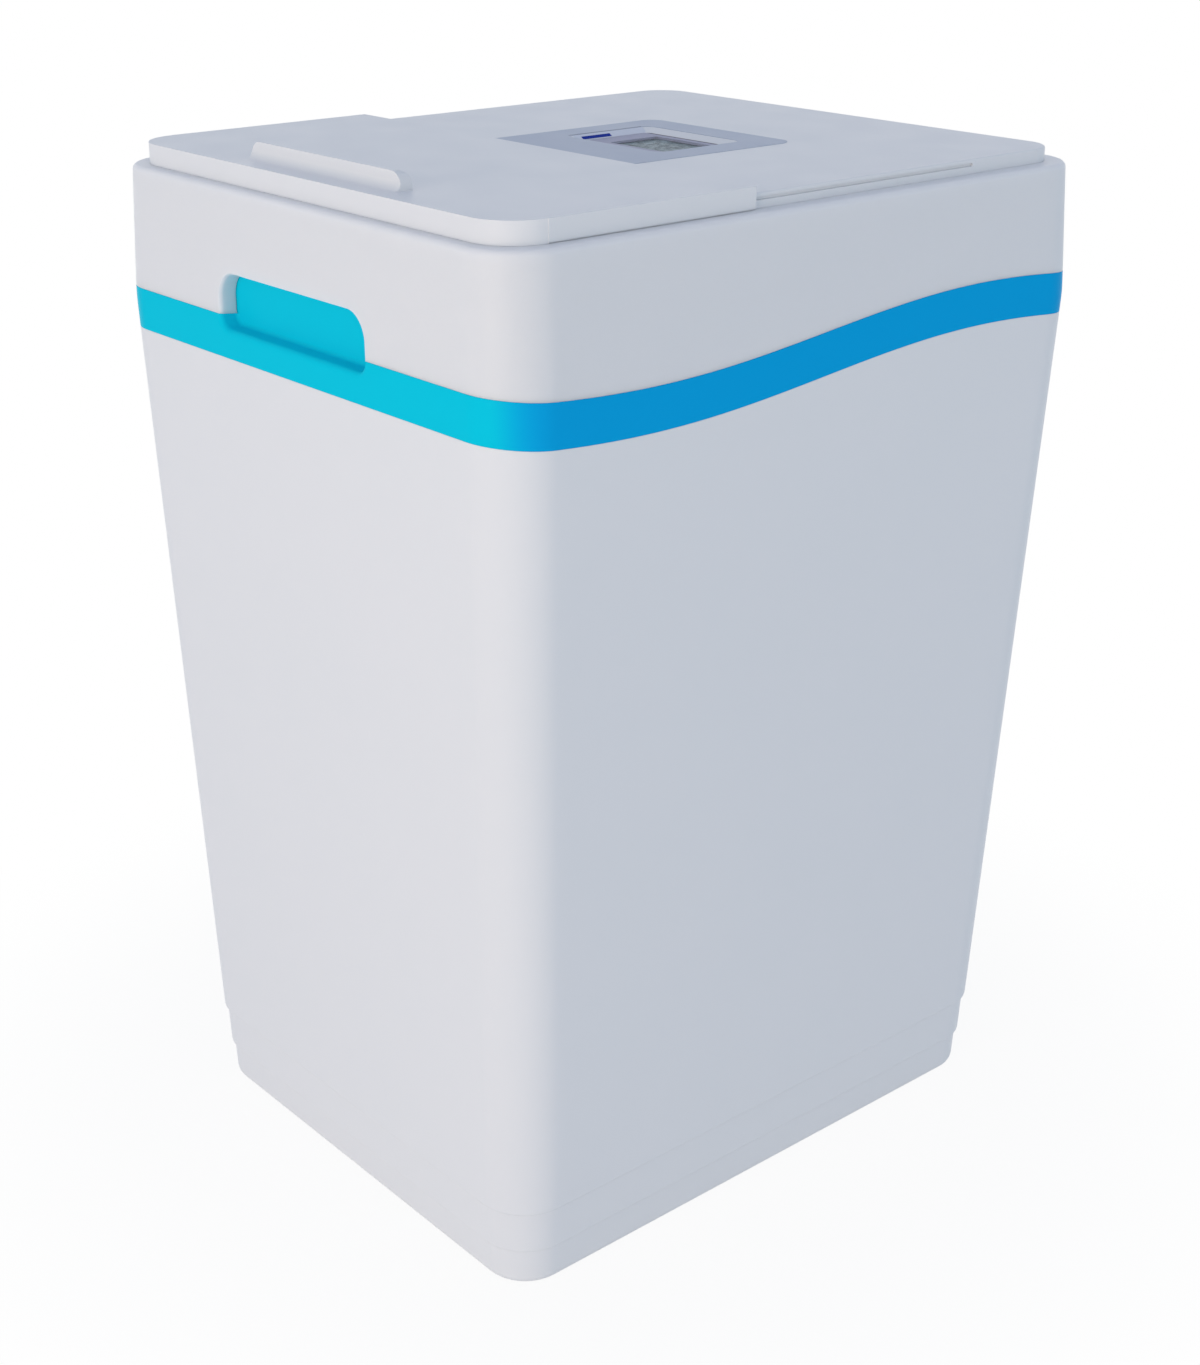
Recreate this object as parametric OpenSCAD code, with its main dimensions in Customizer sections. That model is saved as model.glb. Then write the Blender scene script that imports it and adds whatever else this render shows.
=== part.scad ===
// Cabinet water softener: a tapered salt cabinet with a sliding salt lid, a lift-off rear deck,
// and a resin vessel with a motor-driven disc valve, brine well and display inside.
// The front (grip pocket) faces -Y, width runs along X, and the base stands on z = 0.

/* [Cabinet] */
// Width of the foot at the floor
base_w = 352; // [330:1:370]
// Depth of the foot at the floor
base_d = 427; // [405:1:445]
// Distance of the foot's middle ahead of the cabinet's middle
base_shift = 4; // [2:0.2:4.6]
// Width at the belt, where the cabinet is widest
belt_w = 403; // [395:1:415]
// Depth at the belt
belt_d = 471; // [463:1:483]
// Height of the belt
belt_z = 576; // [566:1:586]
// Width of the shoulder ledge
shoulder_w = 396; // [393:1:402]
// Depth of the shoulder ledge
shoulder_d = 465; // [462:1:471]
// Height of the shoulder ledge above the belt
shoulder_rise = 81; // [74:1:94]
// Corner radius of the cabinet in plan
corner_r = 34; // [28:1:40]
// Wall thickness of the moulded cabinet pieces
wall = 3.5; // [2.5:0.1:4.5]
// Thickness of the tank floor
floor_t = 4; // [3:0.5:6]
// Inset of each of the two steps above the foot
step_inset = 2; // [1:0.25:4]
// Height of the lower step
foot_h = 27; // [16:1:32]
// Height of the upper step above the lower one
step_h = 30; // [20:1:36]
// Width of the flat ledge round the top opening
ledge_w = 22; // [18:0.5:24]

/* [Blue band] */
// Height of the band
band_h = 26; // [20:1:30]
// Mean height of the band's upper edge above the belt
band_rise = 8.3; // [4:0.1:12]
// Rise and fall of the wave on the sides
wave_rise = 9.5; // [4:0.5:12]
// Half of the wave's length, front to back
wave_half = 260; // [240:5:300]
// Reach of the locating tongue above and below the band
tongue_h = 8; // [4:1:10]
// Thickness of the locating tongue
tongue_t = 2.5; // [1.5:0.25:3.5]

/* [Grip pocket] */
// Width of the grip pocket
grip_w = 150; // [120:1:180]
// Depth of the pocket floor below the belt
grip_drop = 2.5; // [0:0.5:5]
// Height of the pocket opening
grip_h = 33.5; // [28:0.5:40]
// Depth of the pocket behind the belt
grip_depth = 12.5; // [10:0.5:16]
// Radius of the upper corners of the pocket
grip_r = 16; // [10:1:16]
// Radius of the lower corners of the pocket
grip_low_r = 8; // [4:1:12]
// Thickness of the pocket walls
grip_t = 2.5; // [2:0.1:4]

/* [Rear panel] */
// Width of the window in the rear wall
window_w = 196; // [190:1:220]
// Depth of the window's lower edge below the pipe ports
window_drop = 23; // [22:0.5:24]
// Height of the window
window_h = 46; // [44:1:48]
// Corner radius of the window
window_r = 8; // [4:1:12]
// Distance of the panel behind the belt
panel_set = 10; // [8:0.5:14]
// Thickness of the panel
panel_t = 3; // [2:0.5:4]
// Overlap of the panel behind the window frame
panel_lap = 4; // [3:0.5:5]

/* [Deck] */
// Distance of the deck's sides from the edge of the shoulder
deck_side = 13; // [12:0.5:15]
// Distance of the deck's rear edge from the edge of the shoulder
deck_back = 11.5; // [8:0.5:16]
// Distance of the deck's front edge ahead of the centre
deck_front = 58; // [52:1:66]
// Height of the deck above the ledge
deck_h = 8.7; // [8:0.1:10]
// Thickness of the deck plate
deck_t = 3; // [2.5:0.1:3.5]
// Thickness of the deck's side walls
deck_wall = 4; // [3.5:0.25:6]
// Radius of the rear corners of the deck
deck_r = 24; // [18:1:30]
// Height of the guide groove in the deck's sides
groove_h = 2; // [1.6:0.1:2.4]
// Depth of the guide groove
groove_depth = 1.6; // [1.2:0.1:2]
// Height of the groove's middle above the ledge
groove_z = 5.4; // [5:0.1:5.8]
// Distance of the groove's end behind the centre
groove_end = 137; // [120:1:160]
// Depth of the locating ribs below the ledge
rib_h = 6; // [4:0.5:8]

/* [Display window] */
// Width of the recess round the display
recess_w = 88; // [84:1:92]
// Depth of the recess, front to back
recess_d = 68; // [64:1:72]
// Distance of the window's middle behind the centre
recess_y = 43.5; // [40:0.5:48]
// Width of the sloping bevel
bevel_w = 6; // [4:0.5:8]
// Depth of the sloping bevel
bevel_h = 1.5; // [1:0.1:1.8]
// Corner radius of the recess
recess_r = 7; // [6:0.5:9]
// Thickness of the clear lens
lens_t = 1.5; // [1:0.1:1.8]
// Overlap of the lens round the window
lens_lap = 4; // [2:0.5:6]
// Width of the printed label
label_w = 134; // [120:1:150]
// Distance of the label's rear edge behind the centre
label_rear = 104; // [96:1:120]
// Distance of the label's front edge ahead of the centre
label_front = 54; // [40:1:56]
// Thickness of the label
label_t = 0.3; // [0.2:0.05:0.4]
// Corner radius of the label
label_r = 14; // [6:1:16]

/* [Salt lid] */
// Thickness of the lid's side skirts
skirt_t = 2.7; // [2.4:0.1:3.4]
// Distance of the lid's front face from the edge of the shoulder
lid_set = 9; // [6:0.5:12]
// Overlap of the lid on the front of the deck
lid_lap = 10; // [8:0.5:12]
// Height of the lid above the ledge
lid_h = 13; // [12.6:0.1:14]
// Thickness of the lid plate
lid_t = 3.2; // [2.6:0.1:3.2]
// Thickness of the lid's front wall
lid_wall = 3; // [2.4:0.1:3.6]
// Radius of the lid's front corners
lid_r = 29; // [26:1:32]
// Set-back of the front corners behind the skirts
skirt_proud = 0.8; // [0.4:0.1:1]
// Length of the front corners ahead of the skirts
skirt_start = 28.5; // [28:0.5:34]
// Gap between the skirts and the ledge
skirt_gap = 1.7; // [1:0.1:2.5]
// Running clearance of the lid
slide_fit = 0.3; // [0.2:0.05:0.4]
// Length of the guide lugs at the rear of the skirts
lug_len = 7.5; // [5:0.5:8]
// Length of the finger ridge
ridge_len = 147; // [120:1:170]
// Height of the finger ridge
ridge_h = 10.5; // [8:0.5:14]
// Thickness of the finger ridge, front to back
ridge_t = 12; // [9:0.5:16]
// Distance of the ridge behind the lid's front face
ridge_set = 16; // [10:0.5:24]

/* [Resin vessel] */
// Distance of the vessel's axis behind the centre
vessel_y = 105; // [100:1:108]
// Radius of the resin vessel
vessel_r = 92; // [84:1:94]
// Height of the vessel's lower dome above the tank floor
vessel_lift = 8; // [4:1:12]
// Height of each dome
dome_h = 48; // [40:1:56]
// Depth of the top of the neck below the valve's axis
neck_drop = 96; // [92:1:110]
// Radius of the neck
neck_r = 42; // [38:1:46]
// Length of the neck
neck_h = 28; // [22:1:34]
// Radius of the neck's bore
neck_bore_r = 32; // [30:0.5:34]
// Wall thickness of the vessel
vessel_t = 3; // [2:0.5:4]
// Radius of the vessel's boot
boot_r = 80; // [70:1:86]
// Height of the vessel's boot
boot_h = 40; // [30:1:46]
// Depth of the resin bed
resin_h = 300; // [200:5:330]
// Radius of the riser tube
riser_r = 13.35; // [12:0.05:14]
// Wall thickness of the riser tube
riser_t = 2; // [1.5:0.1:2.5]
// Radius of the two strainer baskets
basket_r = 26; // [22:0.5:28]
// Height of the two strainer baskets
basket_h = 24; // [18:1:30]

/* [Valve] */
// Gap between the valve barrel and the control tray
valve_gap = 7; // [5:0.5:10]
// Radius of the valve barrel
barrel_r = 38; // [36:0.5:40]
// Distance of the barrel's front face behind the centre
barrel_front = 66; // [64:1:70]
// Distance of the barrel's rear face behind the centre
barrel_rear = 150; // [140:1:156]
// Radius of the disc chamber
chamber_r = 30; // [28:0.5:32]
// Thickness of each ceramic disc
disc_t = 6; // [4:0.5:7]
// Radius of the drive shaft
shaft_r = 6; // [5:0.25:7]
// Running clearance of shafts
run_fit = 0.05; // [0.03:0.01:0.08]
// Thickness of the barrel's end cover
cover_t = 7; // [6:0.5:9]
// Distance of the pipe ports from the middle
port_x = 42; // [40:0.5:44]
// Height of the pipe ports above the valve's axis
port_rise = 25; // [24:0.5:26]
// Radius of the pipe tails, one-inch pipe thread
tail_r = 16.6; // [15:0.1:17]
// Radius of the bore through the pipe tails
tail_bore_r = 12.5; // [11:0.5:13]
// Distance of the tails' ends behind the centre
tail_end = 258; // [250:1:262]
// Wall of the port sockets round the tails
socket_t = 3.9; // [3:0.1:4]
// Distance of the sockets' faces behind the centre
socket_rear = 172; // [166:1:178]

/* [Drive] */
// Module of the gears
gear_mod = 1.25; // [1:0.05:1.3]
// Teeth on the drive gear
gear_teeth = 40; // [36:2:42]
// Teeth on the motor pinion
pinion_teeth = 14; // [14:2:18]
// Face width of the gears
gear_t = 8; // [6:0.5:9]
// Thickness of the drive plate
plate_t = 4; // [3:0.5:5]
// Distance of the drive plate behind the centre
plate_y = 36; // [34:0.5:38]
// Half width of the drive plate
plate_half = 58; // [55:0.5:60]
// Radius of the motor
motor_r = 17; // [14:0.5:18]
// Length of the motor
motor_len = 42; // [36:1:48]
// Radius of the motor shaft
motor_shaft_r = 3; // [2:0.25:4]

/* [Control unit] */
// Half width of the control tray
tray_half = 70; // [66:1:74]
// Distance of the tray's front ahead of the centre
tray_front = 42; // [38:1:46]
// Distance of the tray's rear behind the centre
tray_rear = 88; // [84:1:92]
// Depth of the tray's underside below the shoulder
tray_drop = 16; // [15:0.25:17]
// Wall thickness of the tray
tray_t = 2; // [1.5:0.25:2.5]
// Depth of the control unit's top face below the shoulder
face_drop = 2; // [1:0.5:3]
// Thickness of the circuit board
board_t = 1.6; // [1.2:0.1:2]
// Width of the display module
lcd_w = 78; // [74:1:80]
// Depth of the display module
lcd_d = 58; // [54:1:60]
// Gap between the display and the lens
lcd_gap = 0.3; // [0.2:0.05:0.5]
// Width of a key
key_w = 16; // [12:0.5:20]
// Depth of a key
key_d = 10; // [8:0.5:12]
// Spacing of the keys
key_pitch = 28; // [24:0.5:32]
// Distance of the keys ahead of the centre
key_y = 20; // [16:0.5:24]
// Height of the keys above the face
key_h = 2.5; // [1.5:0.1:3.5]
// Travel of a key
key_travel = 1.2; // [0.8:0.1:1.4]

/* [Salt and brine] */
// Gap between the brine well and the tank's side wall at mid-height
well_side = 26.2; // [22:0.2:30]
// Distance of the brine well ahead of the centre
well_y = 125; // [118:1:132]
// Radius of the brine well
well_r = 42; // [38:1:44]
// Wall thickness of the brine well
well_t = 2.5; // [2:0.25:3.5]
// Length of the brine valve's nipple above the well's cap
nipple_h = 8; // [6:0.5:12]
// Height of the salt grid
grid_z = 72; // [64:1:90]
// Thickness of the salt grid
grid_t = 5; // [4:0.5:7]
// Radius of the float
float_r = 27; // [22:0.5:32]
// Height of the float
float_h = 60; // [45:1:70]
// Height of the float's rest above the floor
float_z = 130; // [110:1:160]
// Travel of the float
float_travel = 80; // [60:1:120]
// Radius of the brine pick-up rod
rod_r = 5; // [4:0.25:6]
// Radius of the brine tube
hose_r = 4.75; // [4:0.25:6]
// Bend radius of the brine tube
hose_bend = 28; // [24:1:32]
// Thickness of the salt guard
guard_t = 3; // [2.5:0.25:4]
// Distance of the salt guard ahead of the centre
guard_y = 52; // [50:0.5:54]
// Depth of the salt guard's lower edge below the shoulder
guard_h = 157; // [140:1:170]

/* [Connections] */
// Distance of the drain tail and the power inlet from the middle
side_x = 79; // [77:0.5:82]
// Distance of the drain port behind the centre
drain_y = 95; // [92:1:98]
// Radius of the drain tail
drain_r = 6.25; // [5.5:0.25:7]
// Bend radius of the drain tail
drain_bend = 14; // [12:1:18]
// Radius of the power inlet's socket
jack_r = 2.75; // [2.5:0.05:3]
// Depth of the power inlet's socket
jack_depth = 10; // [8:0.5:12]
// Distance of the overflow from the middle
overflow_x = 120; // [100:1:126]
// Depth of the overflow below the belt
overflow_drop = 96; // [80:1:130]
// Radius of the overflow's barrel
overflow_r = 10; // [9:0.5:12]
// Radius of the overflow's hose tail
overflow_tail_r = 8; // [7:0.25:9]
// Length of the overflow's hose tail
overflow_tail = 22; // [16:1:28]

/* [Hidden] */
$fn = 64;
shell_fn = 32;
slab_t = 0.01;
through = 1;
part_fit = 0.2;
soft_fit = 0.3;
hole_fit = 0.4;

// Colours of the pieces
white_plastic = "whitesmoke";
band_blue = "deepskyblue";
label_grey = "lightsteelblue";
natural_plastic = "gainsboro";
dark_plastic = "dimgray";
ceramic = "ivory";
steel = "silver";
resin_amber = "darkgoldenrod";
board_green = "seagreen";
rubber_black = "black";

// Heights and lines that the pieces share
shoulder_z = belt_z + shoulder_rise;
band_top = belt_z + band_rise;
grip_floor = belt_z - grip_drop;
tray_z = shoulder_z - tray_drop;
face_z = shoulder_z - face_drop;
valve_z = tray_z - barrel_r - valve_gap;
port_z = valve_z + port_rise;
window_z = port_z - window_drop;
neck_z = valve_z - neck_drop;
guard_z = shoulder_z - guard_h;
overflow_z = belt_z - overflow_drop;
step_z = foot_h + step_h;
main_w0 = base_w + 4 * step_inset;
main_d0 = base_d + 4 * step_inset;
function main_w(z) = main_w0 + (belt_w - main_w0) * z / belt_z;
function main_d(z) = main_d0 + (belt_d - main_d0) * z / belt_z;
function main_y(z) = base_shift * (z / belt_z - 1);
function wave(y) = band_top + wave_rise * sin(180 * y / wave_half);
wave_steps = 24;
wave_span = belt_d + 2 * wall;
ledge_t = wall;
opening_w = shoulder_w - 2 * ledge_w;
opening_d = shoulder_d - 2 * ledge_w;
deck_w = shoulder_w - 2 * deck_side;
deck_rear = shoulder_d / 2 - deck_back;
deck_top = shoulder_z + deck_h;
deck_under = deck_top - deck_t;
lid_top = shoulder_z + lid_h;
lid_under = lid_top - lid_t;
lid_w = deck_w + 2 * (slide_fit + skirt_t);
lid_front = shoulder_d / 2 - lid_set;
lid_rear = -deck_front + lid_lap;
pocket_y = belt_d / 2 - grip_depth;
panel_y = belt_d / 2 - panel_set;
groove_mid = shoulder_z + groove_z;

// Resin vessel and the pieces in it
vessel_z0 = floor_t + vessel_lift;
neck_z0 = neck_z - neck_h;
dome_lap = 8;
vessel_z1 = neck_z0 + dome_lap;
spigot_h = 22;
spigot_z = neck_z - spigot_h;
inner_r = vessel_r - vessel_t;
basket_z = vessel_z0 + dome_h + soft_fit - (dome_h - vessel_t) * sqrt(1 - pow(basket_r / inner_r, 2));
riser_z0 = basket_z + basket_h / 2;
riser_z1 = valve_z - barrel_r;
ring_r = 37;
ring_t = 1.5;

// Valve and drive
flange_r = 46;
flange_h = 12;
column_r = 30;
chamber_gap = 2;
fixed_ports = 6;
chamber_depth = 2 * disc_t + chamber_gap;
fixed_y = barrel_front + chamber_depth - disc_t;
rotary_y = fixed_y - soft_fit - disc_t;
cover_y = barrel_front - cover_t;
gear_set = 4;
gear_y = plate_y + plate_t + gear_set;
journal_step = 2;
journal_r = shaft_r - journal_step;
gear_r = gear_mod * gear_teeth / 2;
pinion_r = gear_mod * pinion_teeth / 2;
gear_gap = 0.1;
gear_backlash = 0.25;
motor_x = gear_r + pinion_r + gear_gap;
pinion_seat = 6;
shaft_gap = 1;
pressure_angle = 20;
pillar_r = 4;
pillar_in = 1;
pillar_ring = barrel_r - pillar_r - pillar_in;
pillar_angles = [60, 120, 240, 300];
screw_r = 2;
screw_head_r = 3.6;
screw_head_t = 2.4;
screw_len = 10;
screw_ring = barrel_r - screw_head_r - hole_fit;
motor_screw_in = 4.5;
motor_screw_ring = motor_r - motor_screw_in;
motor_head_r = 2.8;
post_x = 24;
post_y = barrel_front + chamber_depth;
post_r = 6;
tail_seat = 12;
tail_flange_r = tail_r + socket_t - hole_fit;
tail_flange_t = 4;
tail_relief = 0.4;
free_y = panel_y + tail_flange_t;
wall_lean = 0.75;
brine_port_r = 9;
brine_reach = 46;
drain_reach = 56;
hose_drop = 31;
hose_z = valve_z - hose_drop;
hose_t = 1.2;
hose_bore_r = hose_r - hose_t;
hose_straight = 4;
hose_end = hose_z - hose_bend - hose_straight;
turbine_set = 30;
turbine_y = socket_rear + turbine_set;
turbine_len = 14;
turbine_gap = 1.5;
turbine_r = tail_bore_r - turbine_gap;
turbine_pin_r = 1.2;
turbine_hub_r = 3.2;
cage_t = 4;
blade_t = 1.2;
blade_root = 1;

// Control unit
face_t = 2.5;
board_lift = 3;
board_gap = 1;
board_z = tray_z + tray_t + board_lift;
board_top = board_z + board_t;
lcd_top = deck_under - lens_t - lcd_gap;
frame_t = 2;
frame_drop = 1;
frame_top = lcd_top - frame_drop;
key_flange = 1.5;
key_flange_t = 1.9;
key_low = face_z - face_t - soft_fit - key_flange_t;
switch_w = 6;
key_count = 4;
tray_mid = (tray_rear - tray_front) / 2;
tray_len = tray_rear + tray_front;
corner_post_r = 3.6;
corner_post_in = 7;
small_screw_r = 1.4;
small_head_r = 3;
small_head_t = 1.6;

// Brine side
cap_t = 5;
well_z = hose_end - nipple_h - cap_t;
well_x = main_w(well_z / 2) / 2 - wall - well_r - well_side;
rod_foot_h = 24;
rod_foot_r = 18;
stop_r = rod_r + 5;
stop_t = 5;
cap_lap = 2;
brine_valve_r = 14;
brine_valve_h = 50;
brine_valve_z = well_z - brine_valve_h;
brine_flange_r = 20;
brine_flange_t = 5;
nipple_r = 6.5;
leg_r = 8;
leg_side = 16.5;
leg_end = 24;
leg_x = main_w0 / 2 - 2 * step_inset - wall - leg_r - leg_side;
leg_y = main_d0 / 2 - 2 * step_inset - wall - leg_r - leg_end;
guard_gap = 2.5;
guard_low_gap = 12;
guard_half = shoulder_w / 2 - wall - guard_gap;
guard_low_half = main_w(guard_z) / 2 - wall - guard_low_gap;
channel_reach = 8;
channel_side = 3;
channel_floor = 3;
channel_rise = 12;
channel_z = wave(-guard_y) + tongue_h + channel_rise;

// Plan outline with four equal corners
module rounded(w, d, r) {
    square([w - 2 * r, d], center = true);
    square([w, d - 2 * r], center = true);
    for (sx = [-1, 1], sy = [-1, 1])
        translate([sx * (w / 2 - r), sy * (d / 2 - r)])
            circle(r = r);
}

// Plan outline with two round corners at the rear, or at the front when mirrored
module rounded_end(half, y0, y1, r) {
    translate([-half, y0])
        square([2 * half, y1 - r - y0]);
    translate([-half + r, y0])
        square([2 * (half - r), y1 - y0]);
    for (sx = [-1, 1])
        translate([sx * (half - r), y1 - r])
            circle(r = r);
}

// Upright outline with its own radius at the lower and the upper corners
module two_radius(w, z0, z1, r_low, r_up) {
    mid = (z0 + z1) / 2;
    intersection() {
        translate([0, mid])
            rounded(w, z1 - z0, r_up);
        translate([-w, mid])
            square([2 * w, z1 - z0]);
    }
    intersection() {
        translate([0, mid])
            rounded(w, z1 - z0, r_low);
        translate([-w, z0 - z1 + mid])
            square([2 * w, z1 - z0]);
    }
}

// Thin slab of the cabinet's plan
module slab(w, d, r, y, z) {
    translate([0, y, z])
        linear_extrude(height = slab_t)
            rounded(w, d, r, $fn = shell_fn);
}

// Tapered solid between two plan outlines
module tapered(w0, d0, y0, z0, w1, d1, y1, z1, r) {
    hull() {
        slab(w0, d0, r, y0, z0);
        slab(w1, d1, r, y1, z1 - slab_t);
    }
}

// Part of the tank between two heights. Its foot stands ahead of the belt's middle
module body_taper(z0, z1, inset) {
    tapered(main_w(z0) - 2 * inset, main_d(z0) - 2 * inset, main_y(z0), z0,
        main_w(z1) - 2 * inset, main_d(z1) - 2 * inset, main_y(z1), z1, corner_r - inset);
}

// Whole outside of the cabinet up to the shoulder, without the foot steps
module envelope(inset) {
    tapered(main_w0 - 2 * inset, main_d0 - 2 * inset, 0, 0,
        belt_w - 2 * inset, belt_d - 2 * inset, 0, belt_z, corner_r - inset);
    tapered(belt_w - 2 * inset, belt_d - 2 * inset, 0, belt_z - slab_t,
        shoulder_w - 2 * inset, shoulder_d - 2 * inset, 0, shoulder_z, corner_r - inset);
}

// Everything above the wave line, moved up or down
module above_wave(shift) {
    rotate([90, 0, 90])
        linear_extrude(height = 2 * belt_w, center = true)
            polygon(concat(
                [for (i = [0:wave_steps])
                    let (y = wave_span * (i / wave_steps - 0.5)) [y, wave(y) + shift]],
                [[wave_span / 2, 2 * shoulder_z], [-wave_span / 2, 2 * shoulder_z]]));
}

// Upright outline pushed along Y
module facing_y(y0, y1) {
    translate([0, y1, 0])
        rotate([90, 0, 0])
            linear_extrude(height = y1 - y0)
                children();
}

// Round bar along Y or along X
module along_y(y0, y1, r) {
    translate([0, y0, 0])
        rotate([-90, 0, 0])
            cylinder(r = r, h = y1 - y0);
}

module along_x(x0, x1, r) {
    translate([x0, 0, 0])
        rotate([0, 90, 0])
            cylinder(r = r, h = x1 - x0);
}

// Box centred on x and y that stands on z0
module block(w, d, z0, z1) {
    translate([-w / 2, -d / 2, z0])
        cube([w, d, z1 - z0]);
}

module grip_outline(grow) {
    two_radius(grip_w + 2 * grow, grip_floor - grow, grip_floor + grip_h + grow,
        grip_low_r + grow, grip_r + grow);
}

module window_outline(grow) {
    translate([0, window_z + window_h / 2])
        rounded(window_w + 2 * grow, window_h + 2 * grow, window_r + grow);
}

// Tapered tub with a foot stepped twice
module tank_body() {
    wall_y = main_d(overflow_z) / 2 + main_y(overflow_z);
    color(white_plastic)
        difference() {
            union() {
                body_taper(0, foot_h, 2 * step_inset);
                body_taper(foot_h - slab_t, step_z, step_inset);
                body_taper(step_z - slab_t, belt_z, 0);
            }
            above_wave(-band_h);
            body_taper(floor_t, step_z + floor_t, 2 * step_inset + wall);
            body_taper(step_z + floor_t - slab_t, belt_z + through, wall);
            translate([overflow_x, 0, overflow_z])
                along_y(wall_y - 3 * wall, wall_y + wall, overflow_r + part_fit);
        }
}

// Moulded ring with a wavy edge, locating tongues and the back of the grip pocket
module blue_band() {
    color(band_blue)
        difference() {
            intersection() {
                envelope(0);
                union() {
                    difference() {
                        union() {
                            difference() {
                                above_wave(-band_h);
                                above_wave(0);
                            }
                            band_tongue();
                        }
                        envelope(wall + tongue_t);
                    }
                    difference() {
                        facing_y(-belt_d / 2 + wall, -pocket_y)
                            grip_outline(grip_t);
                        above_wave(0);
                    }
                    facing_y(-pocket_y, -pocket_y + grip_t)
                        grip_outline(grip_t);
                }
            }
            facing_y(-belt_d, -pocket_y)
                grip_outline(0);
        }
}

// Zone of the tongues behind the walls of the tank and the shell, clear of the two openings
module band_tongue() {
    difference() {
        intersection() {
            envelope(wall + part_fit);
            above_wave(-band_h - tongue_h);
        }
        above_wave(tongue_h);
        facing_y(-belt_d, -pocket_y)
            grip_outline(grip_t + part_fit);
        facing_y(panel_y, belt_d)
            window_outline(grip_t + part_fit);
    }
}

// Guide channel that holds one edge of the salt guard
module guard_channel() {
    reach = shoulder_w / 2 + wall;
    slot_y = guard_t + 2 * part_fit;
    translate([guard_half - channel_reach, -guard_y, 0])
        difference() {
            translate([0, -slot_y / 2 - channel_side, channel_z - channel_floor])
                cube([reach - guard_half + channel_reach, slot_y + 2 * channel_side,
                    shoulder_z - channel_z]);
            translate([-through, -slot_y / 2, channel_z])
                cube([channel_reach + part_fit + through, slot_y, shoulder_z]);
        }
}

// Upper collar with the shoulder ledge, the grip cut-out and the rear window
module upper_shell() {
    color(white_plastic)
        difference() {
            union() {
                intersection() {
                    envelope(0);
                    above_wave(0);
                    union() {
                        difference() {
                            block(2 * belt_w, 2 * belt_d, 0, shoulder_z);
                            envelope(wall);
                        }
                        facing_y(-belt_d, -pocket_y)
                            grip_outline(grip_t);
                        facing_y(panel_y, belt_d)
                            window_outline(grip_t);
                        guard_channel();
                        mirror([1, 0, 0])
                            guard_channel();
                    }
                }
                translate([0, 0, shoulder_z - ledge_t])
                    linear_extrude(height = ledge_t)
                        difference() {
                            rounded(shoulder_w, shoulder_d, corner_r);
                            rounded(opening_w, opening_d, corner_r - ledge_w);
                        }
            }
            facing_y(-belt_d, -pocket_y + through)
                grip_outline(0);
            facing_y(panel_y - through, belt_d)
                window_outline(0);
        }
}

// Recessed plate that the pipe tails and the power inlet pass through
module rear_panel() {
    color(natural_plastic)
        difference() {
            facing_y(panel_y - panel_t, panel_y)
                window_outline(panel_lap);
            translate([0, 0, port_z]) {
                for (sx = [-1, 1])
                    translate([sx * port_x, 0, 0])
                        along_y(0, belt_d, tail_r + hole_fit);
                translate([side_x, 0, 0])
                    along_y(0, belt_d, drain_r + hole_fit);
                translate([-side_x, 0, 0])
                    along_y(0, belt_d, 2 * jack_r + part_fit);
            }
        }
}

// Splash wall between the salt space and the valve
module salt_guard() {
    lip_gap = 3;
    lip_half = opening_w / 2 - lip_gap;
    color(natural_plastic)
        translate([0, -guard_y, 0])
            difference() {
                union() {
                    block(2 * guard_low_half, guard_t, guard_z, channel_z);
                    block(2 * guard_half, guard_t, channel_z, shoulder_z - ledge_t - part_fit);
                    block(2 * lip_half, guard_t, channel_z, deck_under - lip_gap / 2);
                }
                translate([-well_x, 0, hose_z])
                    along_y(-guard_t, guard_t, hose_r + hole_fit);
            }
}

// Lift-off rear cover with guide grooves for the lid and the display window
module top_deck() {
    half = deck_w / 2;
    rib_t = 3;
    rib_x = opening_w / 2 - hole_fit - rib_t;
    color(white_plastic)
        difference() {
            union() {
                difference() {
                    translate([0, 0, shoulder_z])
                        linear_extrude(height = deck_h)
                            rounded_end(half, -deck_front, deck_rear, deck_r);
                    translate([0, 0, shoulder_z - through])
                        linear_extrude(height = deck_under - shoulder_z + through)
                            rounded_end(half - deck_wall, -deck_front + deck_wall,
                                deck_rear - deck_wall, deck_r - deck_wall);
                }
                for (sx = [-1, 1])
                    translate([sx * rib_x + (sx - 1) / 2 * rib_t, 0, shoulder_z - rib_h])
                        cube([rib_t, deck_rear - 2 * deck_r, deck_under + slab_t - shoulder_z + rib_h]);
            }
            for (sx = [-1, 1])
                translate([sx * half - groove_depth, -deck_front - through, groove_mid - groove_h / 2])
                    cube([2 * groove_depth, groove_end + deck_front + through, groove_h]);
            translate([0, recess_y, 0]) {
                hull() {
                    slab(recess_w + slab_t, recess_d + slab_t, recess_r, 0, deck_top);
                    slab(recess_w - 2 * bevel_w, recess_d - 2 * bevel_w, recess_r - bevel_w / 2, 0,
                        deck_top - bevel_h);
                }
                translate([0, 0, deck_under - through])
                    linear_extrude(height = deck_t + through)
                        rounded(recess_w - 2 * bevel_w, recess_d - 2 * bevel_w, recess_r - bevel_w / 2);
            }
        }
}

// Printed film round the display window
module display_label() {
    color(label_grey)
        translate([0, 0, deck_top])
            linear_extrude(height = label_t)
                difference() {
                    translate([0, (label_rear - label_front) / 2])
                        rounded(label_w, label_rear + label_front, label_r);
                    translate([0, recess_y])
                        rounded(recess_w, recess_d, recess_r);
                }
}

// Clear plate under the window
module display_lens() {
    color("white", 0.4)
        translate([0, recess_y, deck_under - lens_t])
            linear_extrude(height = lens_t)
                rounded(recess_w - 2 * bevel_w + 2 * lens_lap, recess_d - 2 * bevel_w + 2 * lens_lap,
                    recess_r - bevel_w / 2);
}

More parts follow.
